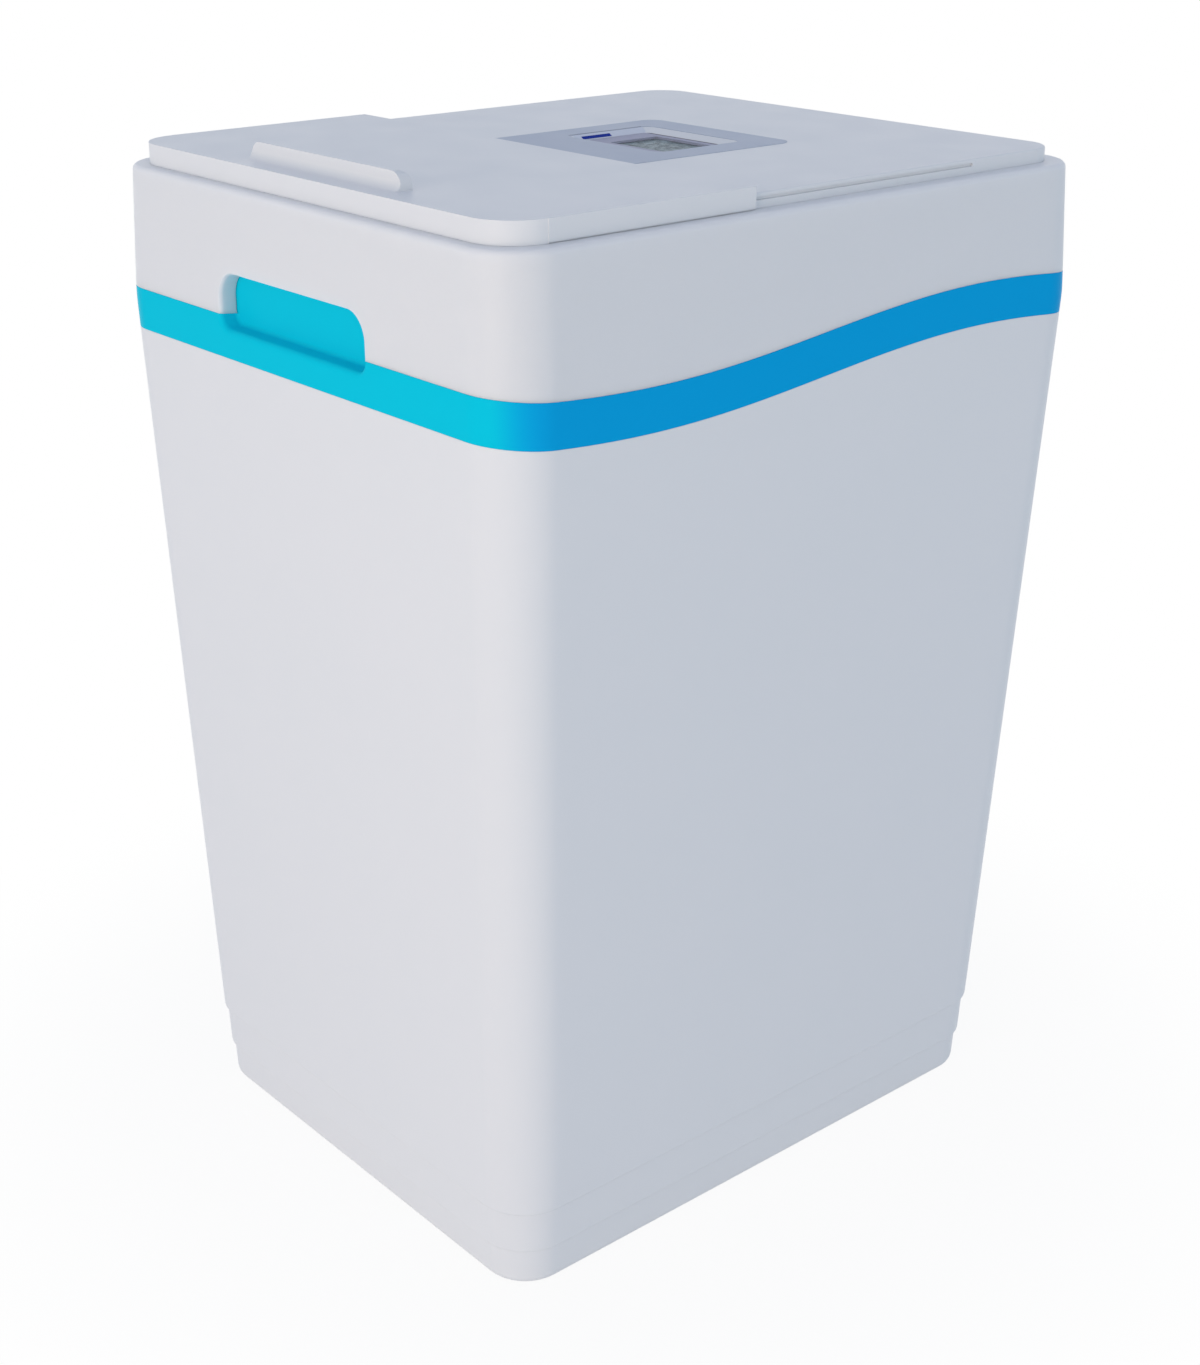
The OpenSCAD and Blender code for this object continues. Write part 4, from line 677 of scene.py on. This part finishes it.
hose_profile = [
    (223.6 * mm, 6 * mm), (223.6 * mm, 15.4 * mm), (224.2 * mm, 16 * mm), (227 * mm, 16 * mm),
    (227.5 * mm, 15.4 * mm), (227.5 * mm, 10 * mm), (243.2 * mm, 10 * mm), (243.8 * mm, 9.4 * mm),
    (243.8 * mm, 7.2 * mm), (246.3 * mm, 7.2 * mm)]
for number in range(3):
    start = (247.3 + 6 * number) * mm
    hose_profile += [(start, 8 * mm), (start + 0.8 * mm, 8 * mm), (start + 4.5 * mm, 7 * mm)]
hose_profile += [(265.2 * mm, 6.9 * mm), (265.8 * mm, 6.4 * mm), (265.8 * mm, 6 * mm)]
make_piece(turned(hose_profile, overflow_x, overflow_z, 44), "overflow_tail", black_nylon, "cabinet",
           "dark_plastic", "overflow_fitting")
nut = bmesh.new()
bmesh.ops.create_cone(nut, cap_ends=True, segments=6, radius1=nut_radius, radius2=nut_radius,
                      depth=nut_depth)
bmesh.ops.rotate(nut, verts=nut.verts, matrix=Matrix.Rotation(math.radians(-90), 3, "X"))
bmesh.ops.translate(nut, verts=nut.verts, vec=(overflow_x, nut_middle, overflow_z))
chamfer_profile = [
    (231.5 * mm, 10.2 * mm), (231.5 * mm, 14.2 * mm), (234.7 * mm, 17.4 * mm), (238.5 * mm, 17.4 * mm),
    (241.7 * mm, 14.2 * mm), (241.7 * mm, 10.2 * mm)]
carve(nut, turned(chamfer_profile, overflow_x, overflow_z, 60), "INTERSECT")
make_piece(nut, "overflow_hex_nut", black_nylon, "cabinet", "dark_plastic", "overflow_nut")
dress(black_nylon, "drain_elbow")

# ---- Control unit ----
# A black tray under the deck holds the circuit board, the display and four key switches. Its cover is
# screwed on at the corners, and the keys slide in holes in it.

dress(black_nylon, "control_tray", "control_cover", "key_switches")
dress(epoxy_board, "control_board")
dress(zinc_plated_steel, "control_screws")
dress(grey_abs, "key_menu", "key_up", "key_down")
dress(blue_gloss, "key_regen")

# ---- Rear deck ----
# The rear half of the top is a flat cover that lifts off for service, moulded like the collar.
# A groove in each side guides the lid, and a bevelled window shows the display.

deck_half = 185 * mm
deck_front = -58 * mm
deck_rear = 221 * mm
deck_top = 665.7 * mm
deck_thickness = 3 * mm
deck_wall = 4 * mm
deck_corner = 24 * mm
hollow_corner = 20 * mm
groove_end = 137 * mm
groove_middle = 662.4 * mm
groove_across = 3.2 * mm
groove_width = 2 * mm
rib_x, rib_y, rib_z = 174.1 * mm, 86.5 * mm, 656.9 * mm
rib_size = (3 * mm, 173 * mm, 11.8 * mm)
recess_middle = 44.5 * mm
recess_width = 88 * mm
recess_depth = 70 * mm
recess_bevel = 5 * mm


def ended_outline(bm, half, square_end, round_end, radius, z, segments=14):
    """Plan face that is square at one end and has two round corners at the other."""
    verts = [bm.verts.new(p) for p in ((-half, square_end, z), (half, square_end, z),
                                       (half, round_end, z), (-half, round_end, z))]
    bm.faces.new(verts)
    before = set(bm.faces) - set(verts[0].link_faces)
    round_corners(bm, verts[2:], radius, segments)
    return [f for f in bm.faces if f not in before]


def block(middle, size):
    """Plain box round its middle."""
    bm = bmesh.new()
    bmesh.ops.create_cube(bm, size=1, matrix=Matrix.LocRotScale(middle, None, size))
    return bm


deck = bmesh.new()
outline = ended_outline(deck, deck_half, deck_front, deck_rear, deck_corner, shoulder_height)
upper = set(push(deck, outline, (0, 0, deck_top - shoulder_height)))
top_rim = [e for e in deck.edges if e.verts[0] in upper and e.verts[1] in upper]
round_edges(deck, top_rim, 1.2 * mm, 4)
hollow = bmesh.new()
outline = ended_outline(hollow, deck_half - deck_wall, deck_front + deck_wall, deck_rear - deck_wall,
                        hollow_corner, shoulder_height - 5 * mm)
push(hollow, outline, (0, 0, deck_top - deck_thickness - shoulder_height + 5 * mm))
carve(deck, hollow, "DIFFERENCE")
for side in (-1, 1):
    # The groove ends in a half round, as the end of a milling cut does.
    groove = block((side * deck_half, (deck_front + groove_end) / 2 - 5 * mm, groove_middle),
                   (groove_across, groove_end - deck_front + 10 * mm, groove_width))
    far = [e for e in groove.edges if all(v.co.y > groove_end - 6 * mm for v in e.verts)
           and abs(e.verts[0].co.x - e.verts[1].co.x) > mm]
    round_edges(groove, far, 0.95 * mm, 4)
    carve(deck, groove, "DIFFERENCE")
    carve(deck, block((side * rib_x, rib_y, rib_z), rib_size), "UNION")
recess = bmesh.new()
window_width, window_depth = recess_width - 2 * recess_bevel, recess_depth - 2 * recess_bevel
loft(recess, [
    flat_ring(recess_width + 2 * mm, recess_depth + 2 * mm, 8 * mm, deck_top + 0.2 * mm),
    flat_ring(recess_width, recess_depth, 7 * mm, deck_top - 0.15 * mm),
    flat_ring(window_width, window_depth, 4 * mm, deck_top - 2.9 * mm),
    flat_ring(window_width, window_depth, 4 * mm, deck_top - 2 * deck_thickness)],
    cap_first=True, cap_last=True)
bmesh.ops.translate(recess, verts=recess.verts, vec=(0, recess_middle, 0))
carve(deck, recess, "DIFFERENCE")
make_piece(deck, "deck_moulding", white_polypropylene, "deck", "white_plastic", "top_deck")

# ---- Display ----
# A plain blue-grey polyester film is glued to the deck round the window. Under the window lie a clear
# acrylic plate in a tinted frame, and the liquid crystal module.

film_thickness = 0.3 * mm
film_width = 134 * mm
film_depth = 158 * mm
film_middle = 25 * mm
film_corner = 11 * mm
flank_front, flank_rear, flank_lift = 12.5 * mm, 73.5 * mm, 0.15 * mm
line_width, line_length, line_x, line_y = 1.1 * mm, 62 * mm, -45.4 * mm, 43 * mm
bar_inner, bar_outer, bar_front, bar_rear, bar_lift = 39.6 * mm, 42 * mm, 19.5 * mm, 43.5 * mm, 0.3 * mm
ink_thickness = 0.05 * mm
lens_low = 661.2 * mm
lens_high = 662.7 * mm
lens_width = 84 * mm
lens_depth = 64 * mm
lens_middle = 43.5 * mm
lens_corner = 4 * mm
clear_width, clear_depth, clear_x, clear_y = 54 * mm, 40 * mm, 4 * mm, 47.5 * mm
clear_corner = 2 * mm
module_width, module_depth, module_corner = 78 * mm, 58 * mm, 1.2 * mm
module_low, module_high = 647.6 * mm, 660.9 * mm


def plate(width, depth, radius, low, high, edge, x, y):
    """Flat plate with round corners and a small chamfer on its upper edge."""
    bm = bmesh.new()
    loft(bm, [flat_ring(width, depth, radius, low), flat_ring(width, depth, radius, high - edge),
              flat_ring(width - 2 * edge, depth - 2 * edge, radius - edge, high)],
         cap_first=True, cap_last=True)
    bmesh.ops.translate(bm, verts=bm.verts, vec=(x, y, 0))
    return bm


# Polyester film: a matt printed skin with a faint, fine texture.
blue_grey_film = moulded_plastic("blue_grey_polyester_film", "#b8c0d0", "#b6bece", 0.45, 0.8, 0.002,
                                 gloss=0.12)
film_top = deck_top + film_thickness
film = plate(film_width, film_depth, film_corner, deck_top, film_top, 0.08 * mm, 0, film_middle)
opening = plate(recess_width + 1 * mm, recess_depth + 1 * mm, 7.5 * mm, deck_top - mm, deck_top + mm,
                0.01 * mm, 0, recess_middle)
carve(film, opening, "DIFFERENCE")
make_piece(film, "label_film", blue_grey_film, "deck", "label_film", "display_label")


def slope_patch(inner, outer, front, rear, lift):
    """Thin skin on the bevel's left flank, between two distances from the middle."""
    bm = bmesh.new()
    drop = (deck_top - lens_high) / recess_bevel
    corners = [(-x, y, deck_top - drop * (recess_width / 2 - x) + lift) for x, y in (
        (outer, front), (inner, front), (inner, rear), (outer, rear))]
    bm.faces.new([bm.verts.new(corner) for corner in corners])
    push(bm, bm.faces[:], (0.06 * mm, 0, 0.1 * mm))
    return bm


# Painted shade on the window's left bevel: a thin sheet with the same skin as the film, in a pale blue-grey a
# little darker than the white deck.
bevel_shade_sheet = moulded_plastic("painted_bevel_shade", "#d8dce8", "#d6dae6", 0.45, 0.8, 0.002, gloss=0.12)
flank = slope_patch(recess_width / 2 - recess_bevel, recess_width / 2 - 0.1 * mm, flank_front, flank_rear,
                    flank_lift)
make_piece(flank, "label_flank", bevel_shade_sheet, "deck", "label_film")

# Two plain stripes beside the window: a grey line along the recess's left rim, which is a painted shadow
# line, and a short blue bar of printing ink.
painted_rim_shadow = moulded_plastic("painted_rim_shadow", "#56607a", "#525c76", 0.5, 0.8, 0.002)
blue_ink = moulded_plastic("dark_blue_ink", "#10329a", "#0f2f92", 0.4, 0.8, 0.002, gloss=0.05)
# Painted shadow: the grey line stands along the rim of the recess.
line = plate(line_width, line_length, 0.4 * mm, film_top, film_top + ink_thickness, 0.01 * mm, line_x, line_y)
make_piece(line, "painted_rim_shadow_line", painted_rim_shadow, "deck", "label_film")
bar = slope_patch(bar_inner, bar_outer, bar_front, bar_rear, bar_lift)
make_piece(bar, "film_bar", blue_ink, "deck", "label_film")

# Clear acrylic: water white, with an anti-glare skin that keeps reflections low. The plate is thin and
# flat, so it lets the view through straight and only its faint haze is drawn.
clear_acrylic, tree, place = new_material("clear_acrylic")
etch = add_node(tree, "ShaderNodeTexNoise", Vector=place, Scale=per_metre(0.8), Detail=2.0)
sheen = add_node(tree, "ShaderNodeMapRange", Value=etch.outputs["Fac"], To_Min=0.02, To_Max=0.06)
surface(tree, Base_Color=linear("#f4f6f8"), IOR=1.49, Roughness=sheen.outputs["Result"],
        Specular_IOR_Level=0.2, Alpha=0.06)
clear_plate = plate(clear_width, clear_depth, clear_corner, lens_low, lens_high, 0.05 * mm, clear_x, clear_y)
make_piece(clear_plate, "lens_plate", clear_acrylic, "deck", "clear_lens", "display_lens")

# Mauve-grey acrylic, moulded round the clear plate, with a painted shadow line at the rear of the window.
mauve_acrylic, tree, place = new_material("mauve_grey_acrylic")
behind = add_node(tree, "ShaderNodeSeparateXYZ", Vector=place).outputs["Y"]
# Painted shadow: a dark line along the rear edge of the window.
rear_shadow_line = add_node(tree, "ShaderNodeMapRange", Value=behind, From_Min=72.6 * mm, From_Max=73 * mm)
dust = add_node(tree, "ShaderNodeTexNoise", Vector=place, Scale=per_metre(1.5), Detail=3.0)
body_shade = blend(tree, dust.outputs["Fac"], "#9d9eb4", "#a9aabf")
colour = blend(tree, rear_shadow_line.outputs["Result"], body_shade, "#34364a")
surface(tree, Base_Color=colour, Roughness=0.6, IOR=1.45)
border = plate(lens_width, lens_depth, lens_corner, lens_low, lens_high, 0.3 * mm, 0, lens_middle)
opening = plate(clear_width, clear_depth, clear_corner, lens_low - mm, lens_high + mm, 0.01 * mm, clear_x,
                clear_y)
carve(border, opening, "DIFFERENCE")
make_piece(border, "display_border", mauve_acrylic, "deck", "display_glass")

# Liquid crystal glass: grey-green and unlit, with a painted reflection in light and dark mottled patches.
crystal_glass, tree, place = new_material("liquid_crystal_glass")
reflection_mottle = add_node(tree, "ShaderNodeTexNoise", Vector=place, Scale=per_metre(5), Detail=5.0, Roughness=0.75)
spread_out = add_node(tree, "ShaderNodeMapRange", Value=reflection_mottle.outputs["Fac"], From_Min=0.40, From_Max=0.60)
# Painted reflection: the light patches of the mottle are mixed into the grey-green.
colour = blend(tree, spread_out.outputs["Result"], "#435459", "#94a6ac")
bump = add_node(tree, "ShaderNodeBump", Height=reflection_mottle.outputs["Fac"], Distance=0.05 * mm, Strength=0.4)
surface(tree, Base_Color=colour, Roughness=0.35, IOR=1.5, Specular_IOR_Level=0.02,
        Normal=bump.outputs["Normal"])
module = plate(module_width, module_depth, module_corner, module_low, module_high, 0.4 * mm, 0, lens_middle)
make_piece(module, "crystal_module", crystal_glass, "cabinet", "display_glass", "lcd_module")

# ---- Salt lid ----
# The front half of the top is a tray-shaped lid that slides back over the deck to open the salt space.
# It is moulded in one with its skirts, the lugs that run in the deck's grooves, and a finger ridge.

lid_front = -223.5 * mm
lid_rear = -48 * mm
lid_top = 670 * mm
lid_half = 187.6 * mm
skirt_half = 188 * mm
skirt_front = -195 * mm
skirt_low = 657.9 * mm
lid_low = 657.05 * mm
lid_wall = 2.3 * mm
lid_corner = 28.2 * mm
lid_edge = 3.2 * mm
lug_x, lug_size = 184.95 * mm, (2.5 * mm, 7.5 * mm, 1.4 * mm)
lip_x, lip_z, lip_across, lip_height = 186.5 * mm, 657.85 * mm, 1.7 * mm, 1.3 * mm
ridge_front = -206 * mm
ridge_half = 75.5 * mm
ridge_depth = 7.5 * mm
ridge_top = 680.3 * mm
ridge_cove = 4.9 * mm

lid = bmesh.new()
sides = ((skirt_half, lid_rear), (skirt_half, skirt_front), (lid_half, skirt_front), (lid_half, lid_front))
verts = [lid.verts.new((x, y, lid_top)) for x, y in sides]
verts += [lid.verts.new((-x, y, lid_top)) for x, y in reversed(sides)]
lid.faces.new(verts)
round_corners(lid, [verts[3], verts[4]], lid_corner, 16)
rim = [e for e in lid.edges if min(v.co.y for v in e.verts) < lid_rear - mm]
walls = bmesh.ops.extrude_edge_only(lid, edges=rim)["geom"]
lower = [g for g in walls if isinstance(g, bmesh.types.BMVert)]
for vert in lower:
    vert.co.z = skirt_low if abs(vert.co.x) > lid_half + 0.2 * mm else lid_low
bmesh.ops.recalc_face_normals(lid, faces=lid.faces)
round_edges(lid, rim, lid_edge, 6)
bmesh.ops.recalc_face_normals(lid, faces=lid.faces)
bmesh.ops.solidify(lid, geom=lid.faces[:], thickness=lid_wall)
bmesh.ops.recalc_face_normals(lid, faces=lid.faces)
ridge = bmesh.new()
section = [ridge.verts.new((-ridge_half, y, z)) for y, z in (
    (ridge_front - ridge_cove, lid_top - mm), (ridge_front - ridge_cove, lid_top + 0.05 * mm),
    (ridge_front, lid_top + 0.05 * mm), (ridge_front, ridge_top),
    (ridge_front + ridge_depth, ridge_top), (ridge_front + ridge_depth, lid_top - mm))]
ridge.faces.new(section)
round_corners(ridge, [section[2], section[4]], ridge_cove, 12)
push(ridge, ridge.faces[:], (2 * ridge_half, 0, 0))
end_outline = bmesh.new()
upright_block(end_outline, ridge_half, lid_top - 5 * mm, ridge_top, ridge_front - 6 * mm,
              ridge_front + 20 * mm, 9 * mm, 0.5 * mm)
carve(ridge, end_outline, "INTERSECT")
ridge.normal_update()
crisp = [e for e in ridge.edges if e.calc_face_angle(0) > math.radians(50)
         and min(v.co.z for v in e.verts) > lid_top - 0.5 * mm]
round_edges(ridge, crisp, 0.4 * mm, 2)
carve(lid, ridge, "UNION")
for side in (-1, 1):
    lug = block((side * lug_x, lid_rear - lug_size[1] / 2, groove_middle), lug_size)
    carve(lid, lug, "UNION")
    lip = block((side * lip_x, (skirt_front + lid_rear) / 2, lip_z),
                (lip_across, lid_rear - skirt_front - mm, lip_height))
    carve(lid, lip, "UNION")
make_piece(lid, "salt_lid_moulding", white_polypropylene, "lid", "white_plastic", "salt_lid")

# ---- Studio ----
# A pale seamless floor, soft lamps and a camera where the photographer stood.
# Camera, glossy and transmitted rays see plain white, and other rays a cool dim room.

floor_mesh = bmesh.new()
bmesh.ops.create_grid(floor_mesh, x_segments=1, y_segments=1, size=6)
floor_data = bpy.data.meshes.new("floor")
floor_mesh.to_mesh(floor_data)
floor_mesh.free()
floor = bpy.data.objects.new("floor", floor_data)
bpy.context.scene.collection.objects.link(floor)


def seen_directly(tree):
    """1 for rays that should meet the white background, and 0 for the light that falls on things."""
    path = add_node(tree, "ShaderNodeLightPath")
    either = add_node(tree, "ShaderNodeMath", {"operation": "MAXIMUM"},
                      in_0=path.outputs["Is Camera Ray"], in_1=path.outputs["Is Glossy Ray"])
    return add_node(tree, "ShaderNodeMath", {"operation": "MAXIMUM"}, in_0=either.outputs[0],
                    in_1=path.outputs["Is Transmission Ray"]).outputs[0]


paper, tree, place = new_material("white_paper")
fibre = add_node(tree, "ShaderNodeTexNoise", Vector=place, Scale=per_metre(3))
shade = blend(tree, fibre.outputs["Fac"], "#f2f3f4", "#f0f1f3")
matte = add_node(tree, "ShaderNodeBsdfDiffuse", Color=shade)
glow = add_node(tree, "ShaderNodeEmission", Color=(1, 1, 1, 1), Strength=1.0)
from_middle = add_node(tree, "ShaderNodeVectorMath", {"operation": "LENGTH"}, Vector=place)
fade = add_node(tree, "ShaderNodeMapRange", {"interpolation_type": "SMOOTHSTEP"},
                Value=from_middle.outputs["Value"], From_Min=0.25, From_Max=0.6, To_Min=0.92, To_Max=1.0)
share = add_node(tree, "ShaderNodeMath", {"operation": "MULTIPLY"}, in_0=seen_directly(tree),
                 in_1=fade.outputs["Result"])
mixed = add_node(tree, "ShaderNodeMixShader", in_0=share.outputs[0], in_1=matte.outputs[0],
                 in_2=glow.outputs[0])
add_node(tree, "ShaderNodeOutputMaterial", Surface=mixed.outputs[0])
floor_data.materials.append(paper)

world = bpy.data.worlds.new("studio")
bpy.context.scene.world = world
world.use_nodes = True
world.node_tree.nodes.clear()
tree = world.node_tree
direction = add_node(tree, "ShaderNodeTexCoord").outputs["Generated"]
upward = add_node(tree, "ShaderNodeSeparateXYZ", Vector=direction).outputs["Z"]
ceiling = blend(tree, upward, (0.423, 0.565, 0.639, 1), (0.509, 0.532, 0.661, 1))
room = blend(tree, seen_directly(tree), ceiling, (1, 1, 1, 1))
sky = add_node(tree, "ShaderNodeBackground", Color=room, Strength=1.0)
add_node(tree, "ShaderNodeOutputWorld", Surface=sky.outputs[0])


def soft_lamp(name, place, aim, size, watts, colour):
    """Rectangular softbox that faces its aim."""
    data = bpy.data.lights.new(name, "AREA")
    data.shape = "RECTANGLE"
    data.size, data.size_y = size
    data.energy = watts
    data.color = colour
    lamp = bpy.data.objects.new(name, data)
    bpy.context.scene.collection.objects.link(lamp)
    lamp.location = place
    lamp.rotation_euler = (Vector(aim) - Vector(place)).to_track_quat("-Z", "Y").to_euler()


soft_lamp("side_softbox", (2.9, 0.9, 0.45), (0, 0, 0.35), (2.0, 1.6), 10.4, (1.0, 0.9, 0.736))
soft_lamp("front_softbox", (0.9, -2.85, 0.7), (0, 0, 0.35), (2.0, 1.6), 39.2, (1.0, 0.823, 0.65))

lens_data = bpy.data.cameras.new("camera")
lens_data.lens = 55.8
lens_data.sensor_width = 36
camera = bpy.data.objects.new("camera", lens_data)
bpy.context.scene.collection.objects.link(camera)
azimuth, elevation = math.radians(49.5), math.radians(22.7)
distance = 1461.3 * mm
aim = Vector((-0.3 * mm * math.cos(azimuth), -0.3 * mm * math.sin(azimuth), 302.5 * mm))
towards = Vector((math.sin(azimuth) * math.cos(elevation), -math.cos(azimuth) * math.cos(elevation),
                  math.sin(elevation)))
camera.location = aim + distance * towards
camera.rotation_euler = (-towards).to_track_quat("-Z", "Y").to_euler()
bpy.context.scene.camera = camera
bpy.context.scene.view_settings.view_transform = "Standard"
